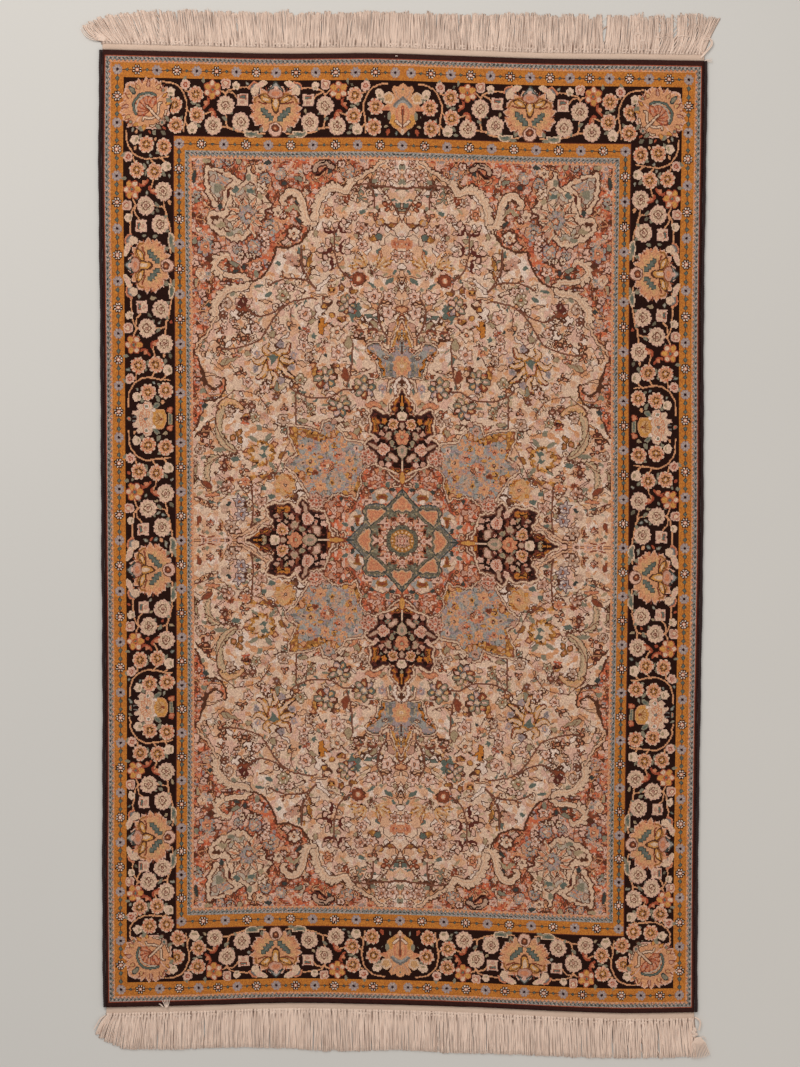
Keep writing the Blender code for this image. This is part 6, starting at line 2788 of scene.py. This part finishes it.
@dataclass
class SideCord:
    """The edge warps of a long side, overcast with dark yarn.

    Args:
        loom: Where the edge lies.
        right: Whether it is the right side's.
        width: The cord's width, in metres.
        height: Its height.
        seam: Its distance from the pile.
        pitch: How far apart the lumps of its winding lie.
    """

    loom: Loom
    right: bool
    width: float = 0.0050
    height: float = 0.0046
    seam: float = 0.0002
    pitch: float = 0.0040

    def build(self, name: str, material: bpy.types.Material) -> Piece:
        """Makes the cord: an oval section whose size rises and falls with each bundle of turns.

        The half width is width/2 (1 + 0.06 sin(2 pi s / pitch)), a slant of half a turn across it.

        Args:
            name: The piece's name.
            material: Its yarn.

        Returns:
            The piece.
        """
        steps = 1201
        along = np.linspace(-1, 1, steps)
        x, y = self.loom.place(np.full(steps, 1.0 if self.right else 0.0), along)
        x = x + (1 if self.right else -1) * (self.seam + self.width / 2)
        x = x + 0.0003 * np.sin(y * 41) + 0.0002 * np.sin(y * 173)
        sides = 12
        angle = np.arange(sides) * 2 * math.pi / sides
        lump = 1 + 0.07 * np.sin(2 * math.pi * y[:, None] / self.pitch + angle)
        half = self.width / 2 * 0.93
        rise = self.height / 2 * 0.93
        ring = np.stack([
            x[:, None] + half * lump * np.cos(angle),
            np.repeat(y[:, None], sides, axis=1),
            np.maximum(self.height / 2 + rise * lump * np.sin(angle), FLOOR_GAP),
        ], -1)
        faces = grid_faces(steps, sides, closed=True)
        ends = [np.arange(sides)[::-1][None], (np.arange(sides) + (steps - 1) * sides)[None]]
        piece = make_piece(name, ring.reshape(-1, 3), [faces[:, ::-1], *[e[:, ::-1] for e in ends]],
                           [material])
        shade_smooth(piece.data)
        return piece


class End(Enum):
    """The rug's two ends, as the direction outward along Y."""

    FAR = 1
    NEAR = -1


@dataclass
class EndBand:
    """The flat-woven cotton band between the pile and the fringe.

    Args:
        loom: Where the pile's end lies.
        end: Which end.
        depth: Its depth, in metres.
        thick: Its thickness.
    """

    loom: Loom
    end: End
    depth: float = 0.0105
    thick: float = 0.0018

    def edge(self, share: Array) -> tuple[Array, Array]:
        """The pile's end line at some shares of its width."""
        return self.loom.place(share, np.full(share.shape, float(self.end.value)))

    def build(self, name: str, material: bpy.types.Material) -> Piece:
        """Makes the band: a low pillow across its depth, whose outer edge puckers at each tassel.

        Its height at share q of its depth is thick (0.55 + 0.45 sin(pi q)) with small puckers.

        Args:
            name: The piece's name.
            material: Its cotton.

        Returns:
            The piece.
        """
        columns, rows = 700, 7
        q, share = np.meshgrid(np.linspace(0, 1, rows), np.linspace(0, 1, columns))
        x, y = self.edge(share)
        pucker = 0.0004 * np.sin(x / 0.0049 * 2 * math.pi) * q
        out = 0.0002 + (self.depth + 0.0003 * np.sin(x * 57) + pucker) * q
        z = self.thick * (0.55 + 0.45 * np.sin(math.pi * q)) + 0.0002 * np.sin(x * 330 + q * 5) * q
        top = np.stack([x, y + self.end.value * out, z], -1)
        ring = np.concatenate([top, (top * (1, 1, 0) + (0, 0, 0.0002))[:, ::-1]], axis=1)
        faces = [grid_faces(columns, 2 * rows, closed=True)]
        faces += [np.arange(2 * rows)[::-1][None], (np.arange(2 * rows) + (columns - 1) * 2 * rows)[None]]
        if self.end is End.FAR:
            faces = [f[:, ::-1] for f in faces]
        piece = make_piece(name, ring.reshape(-1, 3), faces, [material])
        add_tone(piece.data, np.full(len(piece.data.vertices), 0.75))
        shade_smooth(piece.data)
        return piece


@dataclass(frozen=True)
class LooseEnd:
    """A few warp ends that stray from their fringe side by side.

    Args:
        x: Where they start, in mm.
        out: How far beyond the band's outer edge they start, in mm.
        headings: Their first and last heading, in degrees from straight out towards +X.
        turn: The shares of their length between which they turn.
        length: In mm.
        radius: Of each, in mm.
        beside: How many there are.
        fan: The angle over which they spread, in degrees.
        level: Their height above the floor, in mm.
    """

    x: float
    out: float
    headings: tuple[float, float]
    turn: tuple[float, float]
    length: float
    radius: float = 0.6
    beside: int = 1
    fan: float = 0.0
    level: float = 2.6

    def paths(self, y: float, out: int) -> tuple[Array, Array]:
        """Their centre lines, from a start at y metres, and their radii.

        Args:
            y: The start's y, in metres.
            out: 1 where outward is +Y, and -1 where it is -Y.

        Returns:
            Points as ends x steps x 3, and radii as ends x steps, in metres.
        """
        steps = 26
        q = np.linspace(0, 1, steps)
        bend = np.clip((q - self.turn[0]) / (self.turn[1] - self.turn[0]), 0, 1)
        first, last = self.headings
        row = (np.arange(self.beside) - (self.beside - 1) / 2)[:, None]
        heading = np.radians(first + (last - first) * bend * bend * (3 - 2 * bend)
                             + row / max(self.beside, 2) * self.fan * np.clip(q * 3, 0, 1))
        stride = self.length * MM / steps
        offset = row * self.radius * 1.6 * MM * (0.4 + 0.6 * np.clip(q * 3, 0, 1))
        x = self.x * MM + np.cumsum(np.sin(heading), axis=1) * stride + offset * np.cos(heading)
        along = np.cumsum(np.cos(heading), axis=1) * stride - offset * np.sin(heading)
        paths = np.stack([x, y + out * along, np.full_like(x, self.level * MM)], -1)
        radii = self.radius * MM * np.ones_like(row) * np.linspace(1, 0.6, steps)
        return paths, radii


@dataclass
class Fringe:
    """The warp ends beyond a band, tied in rows of small knots and left as loose strands.

    Args:
        band: The band that it hangs from.
        table: Rows of share of the width, length in mm, and first and last lean in degrees.
        slits: Rows of x in mm and half the width of the slit there, in mm, where strands part.
        loose: The ends that stray.
        big_knots: Rows of x, distance beyond the band, half width and half length, in mm.
        wild: How far neighbouring tassels' leans differ, in degrees.
        ragged: How far their lengths differ, as a share.
        seed: The order of its small irregularities.
        glow: How bright its strands are; the near fringe's higher glow is painted light.
        tassels: How many knots there are.
    """

    band: EndBand
    table: tuple[tuple[float, float, float, float], ...]
    slits: tuple[tuple[float, float], ...]
    loose: tuple[LooseEnd, ...]
    big_knots: tuple[tuple[float, float, float, float], ...]
    wild: float
    ragged: float
    seed: int
    glow: float = 1.08
    tassels: int = 188

    WIDTH = 912  # from the first tassel to the last, in mm
    FIRST_ROW = 0.0022  # how far beyond the band the strands are drawn into their knots, in metres
    SHADOW_LAYER_TONE = 0.40  # how bright the matted lower strands are: painted dark, as the shade beneath the upper strands

    def read(self, share: Array, column: int) -> Array:
        """A column of the table at some shares of the width."""
        rows = np.array(self.table)
        return np.interp(share, rows[:, 0], rows[:, column])

    def edge_at(self, x: float) -> float:
        """The band's outer edge at an x, both in metres."""
        xs, ys = self.band.edge(np.linspace(0, 1, 200))
        return float(np.interp(x, xs, ys)) + self.band.end.value * self.band.depth

    def parted(self, x: Array, reach: Array) -> Array:
        """Moves strands off the slits: by the slit's half width, fading over 7 mm to each side.

        Args:
            x: The strands' x, in metres.
            reach: How far each has come from its root, as a share.

        Returns:
            The moved x.
        """
        moved = x
        for at, half in self.slits:
            off = x - at * MM
            moved = moved + np.sign(off) * half * MM * np.exp(-np.abs(off) / 0.007) * reach
        return moved

    def comb(self, strands: int, radius: float, low: float, high: float, tone: float) -> Strands:
        """One layer of strands.

        A strand leaves the band's edge, is drawn into its knot and then spreads to its place in
        its tassel. Its heading turns from the fringe's first lean to the last, with its
        tassel's own wander and a slow bend. Beside its neighbours' knots it is painted darker,
        as shade in the hollow between tassels, and its first point, under the band's edge, is
        painted a little darker too.

        Args:
            strands: How many leave each knot.
            radius: A strand's radius, in metres.
            low: The lowest height of a strand's middle, in metres.
            high: The highest.
            tone: How bright the layer is.

        Returns:
            The vertices, the faces and each vertex's tone.
        """
        rng = np.random.default_rng(self.seed)
        count, total = self.tassels, self.tassels * strands
        middle = (np.arange(count) + 0.5 + rng.uniform(-0.14, 0.14, count)) / count
        spaced = np.arange(0, count + 5, 5)
        sway = np.interp(np.arange(count), spaced, rng.normal(0, 1, len(spaced)))
        wander = np.stack([sway * 0.5, sway + 0.6 * rng.normal(0, 1, count)]) * self.wild
        length = self.read(middle, 1) * MM * (1 + self.ragged * rng.normal(0, 1, count))
        dark, reach, first_dark = (rng.uniform(a, b, count + 1) for a,
                                   b in ((0.2, 1.3), (0.05, 0.26), (0.0, 0.14)))
        glow = rng.normal(0, 0.09, count)
        tassel = np.repeat(np.arange(count), strands)
        side = np.tile(np.linspace(-1, 1, strands), count)
        out, pitch = self.band.end.value, self.WIDTH * MM / count
        root_x, root_y = self.band.edge(middle[tassel])
        steps = 9
        q = np.linspace(0, 1, steps)[None, :]
        first, last = ((self.read(middle, 2 + k) + wander[k])[tassel][:, None] for k in (0, 1))
        bend = rng.normal(0, 0.045, (total, 1)) * np.sin(math.pi * q * 1.3 + rng.uniform(0, 6, (total, 1)))
        heading = np.radians(first + (last - first) * q + rng.normal(0, 0.35 * self.wild,
                                                                     (total, 1)) * q) + bend
        stride = (length[tassel] * (1 + 0.5 * self.ragged * rng.normal(0, 1, total)) / (steps - 1))[:, None]
        walk_x, walk_y = (
            (np.cumsum(wave(heading), axis=1) - wave(heading[:, :1])) * stride for wave in (np.sin, np.cos)
        )
        spread = side[:, None] * pitch * (0.30 + 0.26 * np.clip(q * 4, 0, 1))
        knot_y = root_y + out * (self.band.depth + self.FIRST_ROW)
        x = self.parted(root_x[:, None] + spread + walk_x, np.clip(q * 1.6, 0, 1))
        height = rng.uniform(low, high, (total, 1))
        z = height + 0.0002 * np.sin(q * 9 + rng.uniform(0, 6, (total, 1)))
        start = np.stack([root_x + side * pitch * 0.5, root_y + out * (self.band.depth - 0.0012),
                          np.full(total, 0.0010)], -1)
        paths = np.concatenate([start[:, None], np.stack([x, knot_y[:, None] + out * walk_y, z], -1)], axis=1)
        radii = radius * rng.uniform(0.85, 1.2, (total, 1)) * np.r_[1.0, 1.0, np.linspace(1, 0.66, steps - 1)]
        # Painted shade: a strand at a tassel's side darkens near its root, as the shade in the hollow between
        # two tassels.
        hollow = tassel + (side > 0)  # the hollow that it lies beside
        gap = (dark[hollow] * np.abs(side) ** 2.5)[:, None]
        gap = gap * np.exp(-(((q - first_dark[hollow][:, None]) / reach[hollow][:, None]) ** 2))
        bright = (tone + glow[tassel] + rng.normal(0, 0.15, total))[:, None] * (1 - 1.1 * gap)
        # The first point, under the band's edge, is painted a little darker, as shade beneath the band.
        bright = np.concatenate([bright[:, :1] * 0.9, bright, bright[:, :1], bright[:, -1:]], axis=1)
        sides = 4
        points, faces = tubes(paths, radii, sides)
        points[:, 2] *= 1.0 if strands > 4 else 0.45  # the lower layer is matted flat
        return points, faces, np.repeat(bright, [sides] * (steps + 1) + [1, 1], axis=1).ravel()

    def knots(self, out: float, share: Array, half: tuple[float, float, float]) -> Strands:
        """A row of knots: lumpy balls, each a sphere whose radius swells in three slanting turns.

        Args:
            out: How far beyond the band's edge they lie, in metres.
            share: Where they lie, as shares of the width.
            half: A knot's half sizes in x, y and z, in metres.

        Returns:
            The vertices, the faces and each vertex's tone.
        """
        rng = np.random.default_rng(self.seed + 50)
        rows, columns, count = 5, 7, len(share)
        x, y = self.band.edge(share)
        y = y + self.band.end.value * (self.band.depth + out + rng.normal(0, 0.0004, count))
        polar_angle = np.linspace(0.16, math.pi - 0.16, rows)[:, None]
        round_angle = np.arange(columns) * 2 * math.pi / columns
        swell = 1 + 0.18 * np.sin(3 * round_angle + 4 * polar_angle + rng.uniform(0, 6, (count, 1, 1)))
        size = rng.uniform(0.8, 1.15, (count, 1, 1))
        ball = np.stack([half[0] * np.sin(polar_angle) * np.cos(round_angle) * swell * size,
                         half[1] * np.cos(polar_angle) * np.ones_like(round_angle) * size,
                         half[2] * np.sin(polar_angle) * np.sin(round_angle) * swell * size], -1)
        centre = np.stack([x, y, np.full(count, 0.0008 + half[2] * 0.7)], -1)[:, None, None, :]
        start = np.arange(count)[:, None, None] * rows * columns
        quads = (grid_faces(rows, columns, closed=True)[None] + start).reshape(-1, 4)
        caps = np.stack([np.arange(columns)[::-1], np.arange(columns) + (rows - 1) * columns])[None]
        tones = np.repeat(rng.uniform(0.75, 1.2, count), rows * columns)
        return (ball + centre).reshape(-1, 3), [quads, (caps + start).reshape(-1, columns)], tones

    def build(self, name: str, material: bpy.types.Material) -> Piece:
        """Makes the fringe: every strand a thin tube, and every knot a lumpy ball.

        Args:
            name: The piece's name.
            material: Its cotton.

        Returns:
            The piece.
        """
        rng = np.random.default_rng(self.seed + 9)
        first = (np.arange(self.tassels) + 0.5) / self.tassels
        second = rng.choice(np.arange(1, self.tassels) / self.tassels, 96, replace=False)
        parts = [
            self.comb(8, 0.00060, 0.0011, 0.0022, self.glow),
            # The matted lower layer, painted dark as the shade beneath the upper strands.
            self.comb(2, 0.00200, 0.0003, 0.0005, self.SHADOW_LAYER_TONE),
            self.knots(0.0012, first + rng.uniform(-0.3, 0.3, self.tassels) / self.tassels,
                       (0.0018, 0.0013, 0.0011)),
            self.knots(0.0048, second, (0.0017, 0.0017, 0.0013)),
        ]
        for x, out, wide, long in self.big_knots:
            share = np.full(6, x / self.WIDTH + 0.5) + rng.normal(0, wide * 0.35 / self.WIDTH, 6)
            steps = np.linspace(-0.7, 0.7, 6) * long
            for k in range(6):
                parts.append(self.knots((out + steps[k]) * MM, share[k : k + 1],
                                        (wide * 0.75 * MM, long * 0.42 * MM, 0.0028)))
        for loose in self.loose:
            start = self.edge_at(loose.x * MM) + self.band.end.value * loose.out * MM
            paths, radii = loose.paths(start, self.band.end.value)
            points, faces = tubes(paths, radii, 5)
            parts.append((points, faces, np.full(len(points), 1.2)))
        starts = np.cumsum([0] + [len(points) for points, _, _ in parts])
        faces = [f + start for start, (_, group, _) in zip(starts, parts) for f in group]
        points = np.concatenate([points for points, _, _ in parts])
        points[:, 2] = np.maximum(points[:, 2], FLOOR_GAP)
        piece = make_piece(name, points, faces, [material])
        add_tone(piece.data, np.concatenate([tone for _, _, tone in parts]))
        shade_smooth(piece.data)
        return piece


# ---------------------------------------------------------------------------
# The studio
# ---------------------------------------------------------------------------


@dataclass(frozen=True)
class Studio:
    """A pale floor, soft light from above, and a camera that looks straight down.

    Args:
        view_height: How much of the floor the picture's long side shows, in metres.
        lens: The camera's focal length, in mm.
        aim: The point under the camera, in metres.
        sky: The strength of the even light from all round.
        key: The power of the large soft light, in watts.
        fill: The power of the second one.
    """

    view_height: float = 1.6325
    lens: float = 100.0
    aim: tuple[float, float] = (0.0, 0.0026)
    sky: float = 0.50
    key: float = 52.0
    fill: float = 16.0

    def set_camera(self) -> None:
        """Stands the camera over the rug; its height follows from the lens and the view."""
        data = bpy.data.cameras.new("camera")
        data.lens = self.lens
        data.sensor_width = SENSOR
        camera = bpy.data.objects.new("camera", data)
        bpy.context.scene.collection.objects.link(camera)
        camera.location = (*self.aim, self.view_height * self.lens / SENSOR)
        bpy.context.scene.camera = camera
        bpy.context.scene.view_settings.view_transform = "Standard"

    def add_light(
        self, name: str, place: tuple[float, float, float], size: float, power: float,
        colour: tuple[float, float, float],
    ) -> None:
        """Hangs a square soft light that faces the rug's middle.

        Args:
            name: Its name.
            place: Where it hangs, in metres.
            size: Its side, in metres.
            power: In watts.
            colour: Linear RGB.
        """
        data = bpy.data.lights.new(name, "AREA")
        data.size = size
        data.energy = power
        data.color = colour
        light = bpy.data.objects.new(name, data)
        light.location = place
        light.rotation_euler = (-Vector(place)).to_track_quat("-Z", "Y").to_euler()
        bpy.context.scene.collection.objects.link(light)

    def build(self) -> None:
        """Lays the floor and sets the lights."""
        world = bpy.data.worlds.new("studio")
        world.use_nodes = True
        world.node_tree.nodes["Background"].inputs[0].default_value = (1, 1, 1, 1)
        world.node_tree.nodes["Background"].inputs[1].default_value = self.sky
        bpy.context.scene.world = world
        self.add_light("key", (-1.2, 2.3, 2.3), 1.6, self.key, (1.0, 0.965, 0.92))
        self.add_light("fill", (1.9, -1.3, 2.4), 2.2, self.fill, (1.0, 0.86, 0.72))
        mesh = bpy.data.meshes.new("floor")
        half = 9.0
        corners = [(-half, -half), (half, -half), (half, half), (-half, half)]
        mesh.from_pydata([(x, y, -FLOOR_GAP) for x, y in corners], [], [(0, 1, 2, 3)])
        mesh.materials.append(MattFloor().material())
        floor = bpy.data.objects.new("floor", mesh)
        bpy.context.scene.collection.objects.link(floor)


# The silk of the pile and of the back, and the yarns at the rug's edges.
PILE_SILK = SilkKnots(Side.PILE)
BACK_SILK = SilkKnots(Side.BACK, sheen=0.04, roughness=0.7, knot_shade=0.14, streak_shade=0.06, relief=0.0005)
# Dark silk yarn wound over the edge warps: small hard turns about a millimetre apart, with painted shade
# between the turns in its second colour.
EDGE_SILK = PlainYarn("dark_silk_overcasting", "3B1B17", "1A0A08", Lay.WOUND, 0.0012, roughness=0.65)
# Cotton warps, unbleached: woven flat in the band, and left loose in the fringe. Their second colours are
# painted shade in the hollows between threads, and in the fringe also between tassels and under the upper
# strands, and they give the soiling too.
BAND_COTTON = PlainYarn("flat_woven_cotton", "E8CDB9", "B08C74", Lay.WOVEN, 0.0012, roughness=0.85)
FRINGE_COTTON = PlainYarn("loose_cotton_warp", "FFE6D4", "7A523A", Lay.LOOSE, 0.0016, roughness=0.85)

# Share of the width, length in mm, and first and last lean in degrees, along each fringe.
FAR_FRINGE = (
    (0.00, 37, -76, -34), (0.012, 41, -58, -36), (0.03, 46, -34, -32), (0.08, 49, -14, -19),
    (0.16, 52, -5, -9), (0.23, 49, -3, -6), (0.35, 50, 1, 1), (0.50, 49, 1, 2), (0.60, 51, 1, 2),
    (0.70, 54, 2, 3), (0.80, 54, 2, 4), (0.90, 54, 8, 3), (0.925, 55, 28, -6), (0.945, 58, 35, 0),
    (0.975, 60, 34, 0), (1.00, 57, 14, 36),
)
NEAR_FRINGE = (
    (0.00, 30, -58, -24), (0.006, 37, -32, -20), (0.02, 45, -13, -12), (0.04, 53, -6, -5),
    (0.10, 54, -3, -2), (0.20, 54, -1, -1), (0.30, 57, -1, -1), (0.37, 61, 0, 0), (0.43, 60, 0, 0),
    (0.50, 57, 0, 0), (0.60, 59, 0, 1), (0.70, 57, 1, 2), (0.80, 57, 1, 2), (0.95, 56, 1, 4),
    (1.00, 56, 1, 7),
)
FAR_SLITS = (
    (-370, 1.6), (-249, 1.4), (313, 4.2), (421, 3.4), (90, 0.8), (-120, 0.8), (398, 2.0), (441, 1.6),
    (454, 1.2),
)
NEAR_SLITS = ((58, 1.0), (325, 1.0), (349, 0.8), (370, 1.6), (395, 1.4), (-200, 0.6))
# The ends that stray at each fringe's corners and elsewhere.
FAR_LOOSE = (
    LooseEnd(459, -7, (40, -114), (0.47, 1.0), 48, radius=1.15, beside=2),
    LooseEnd(463, -12, (66, 96), (0.0, 1.0), 15, radius=0.45, beside=3, fan=26),
    LooseEnd(361, 2, (-6, 176), (0.30, 0.72), 62, radius=0.8, beside=3, level=3.0),
    LooseEnd(367, 2, (-2, 172), (0.25, 0.75), 40, radius=0.7, beside=2, level=3.1),
    LooseEnd(354, 2, (2, 42), (0.30, 1.0), 52, radius=0.7, beside=3),
    LooseEnd(388, 27, (112, 58), (0.0, 1.0), 31, radius=0.5, beside=2, fan=10),
    LooseEnd(404, 34, (-24, 12), (0.0, 1.0), 27, radius=0.5, beside=2, fan=22),
    LooseEnd(424, 26, (76, 104), (0.0, 1.0), 20, radius=0.55, beside=2),
    LooseEnd(307, 26, (26, -26), (0.0, 1.0), 25, radius=0.5),
    LooseEnd(-450, 4, (-70, -14), (0.35, 1.0), 43, radius=0.9, beside=6, fan=24),
    LooseEnd(-449, 5, (-58, -30), (0.2, 1.0), 38, radius=0.8, beside=6, fan=14),
    LooseEnd(-7, -14.5, (60, 120), (0.0, 1.0), 3.6, radius=0.7, level=5.3),
)
NEAR_LOOSE = (
    LooseEnd(450, -3, (64, -12), (0.10, 0.75), 25, radius=0.9, beside=2),
    LooseEnd(448, -2, (0, 24), (0.20, 1.0), 22, radius=0.8),
    LooseEnd(456, 27, (4, 11), (0.0, 1.0), 33, radius=1.0, beside=12, fan=26),
    LooseEnd(461, 27, (84, 18), (0.2, 1.0), 9, radius=0.45),
    LooseEnd(-357, -8, (178, 190), (0.0, 1.0), 13, radius=0.7, beside=5, fan=46, level=5.4),
    LooseEnd(-362, -9, (216, 242), (0.0, 1.0), 8, radius=0.6, beside=2, level=5.2),
    LooseEnd(-450, 2, (-62, -30), (0.0, 0.6), 29, radius=0.5, beside=2),
)
NEAR_KNOTS = ((456.5, 21, 5.6, 7.4),)


def report_sizes() -> None:
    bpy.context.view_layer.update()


def main() -> None:
    """Builds the rug and lights it."""
    studio = Studio()
    studio.set_camera()
    loom = Loom.from_cad(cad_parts["rug_pile"])
    edge_silk = EDGE_SILK.material()
    cotton = BAND_COTTON.material()
    fringe_cotton = FRINGE_COTTON.material()
    sheet = KnottedPile(loom, draw_rug())
    pile = sheet.build(Side.PILE, "knotted_silk_pile", PILE_SILK, edge_silk)
    back = sheet.build(Side.BACK, "knotted_back", BACK_SILK, edge_silk)
    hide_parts("rug_pile")
    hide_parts("rug_pile")
    for right, node in ((False, "side_cord_left"), (True, "side_cord_right")):
        cord = SideCord(loom, right).build(f"overcast_{node}", edge_silk)
        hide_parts(node)
    bands = EndBand(loom, End.FAR), EndBand(loom, End.NEAR)
    far = Fringe(bands[0], FAR_FRINGE, FAR_SLITS, FAR_LOOSE, (), wild=3.4, ragged=0.035, seed=3)
    # The near fringe is painted brighter than the far one: painted light where the lamps leave it dimmer.
    near = Fringe(bands[1], NEAR_FRINGE, NEAR_SLITS, NEAR_LOOSE, NEAR_KNOTS, wild=1.5, ragged=0.010, seed=4,
                  glow=1.34)
    for comb, word in ((far, "far"), (near, "near")):
        woven = comb.band.build(f"woven_end_band_{word}", cotton)
        fringe = comb.build(f"knotted_fringe_{word}", fringe_cotton)
        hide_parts(f"end_band_{word}")
        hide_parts(f"fringe_{word}")
    studio.build()
    report_sizes()


if __name__ == "__main__":
    main()
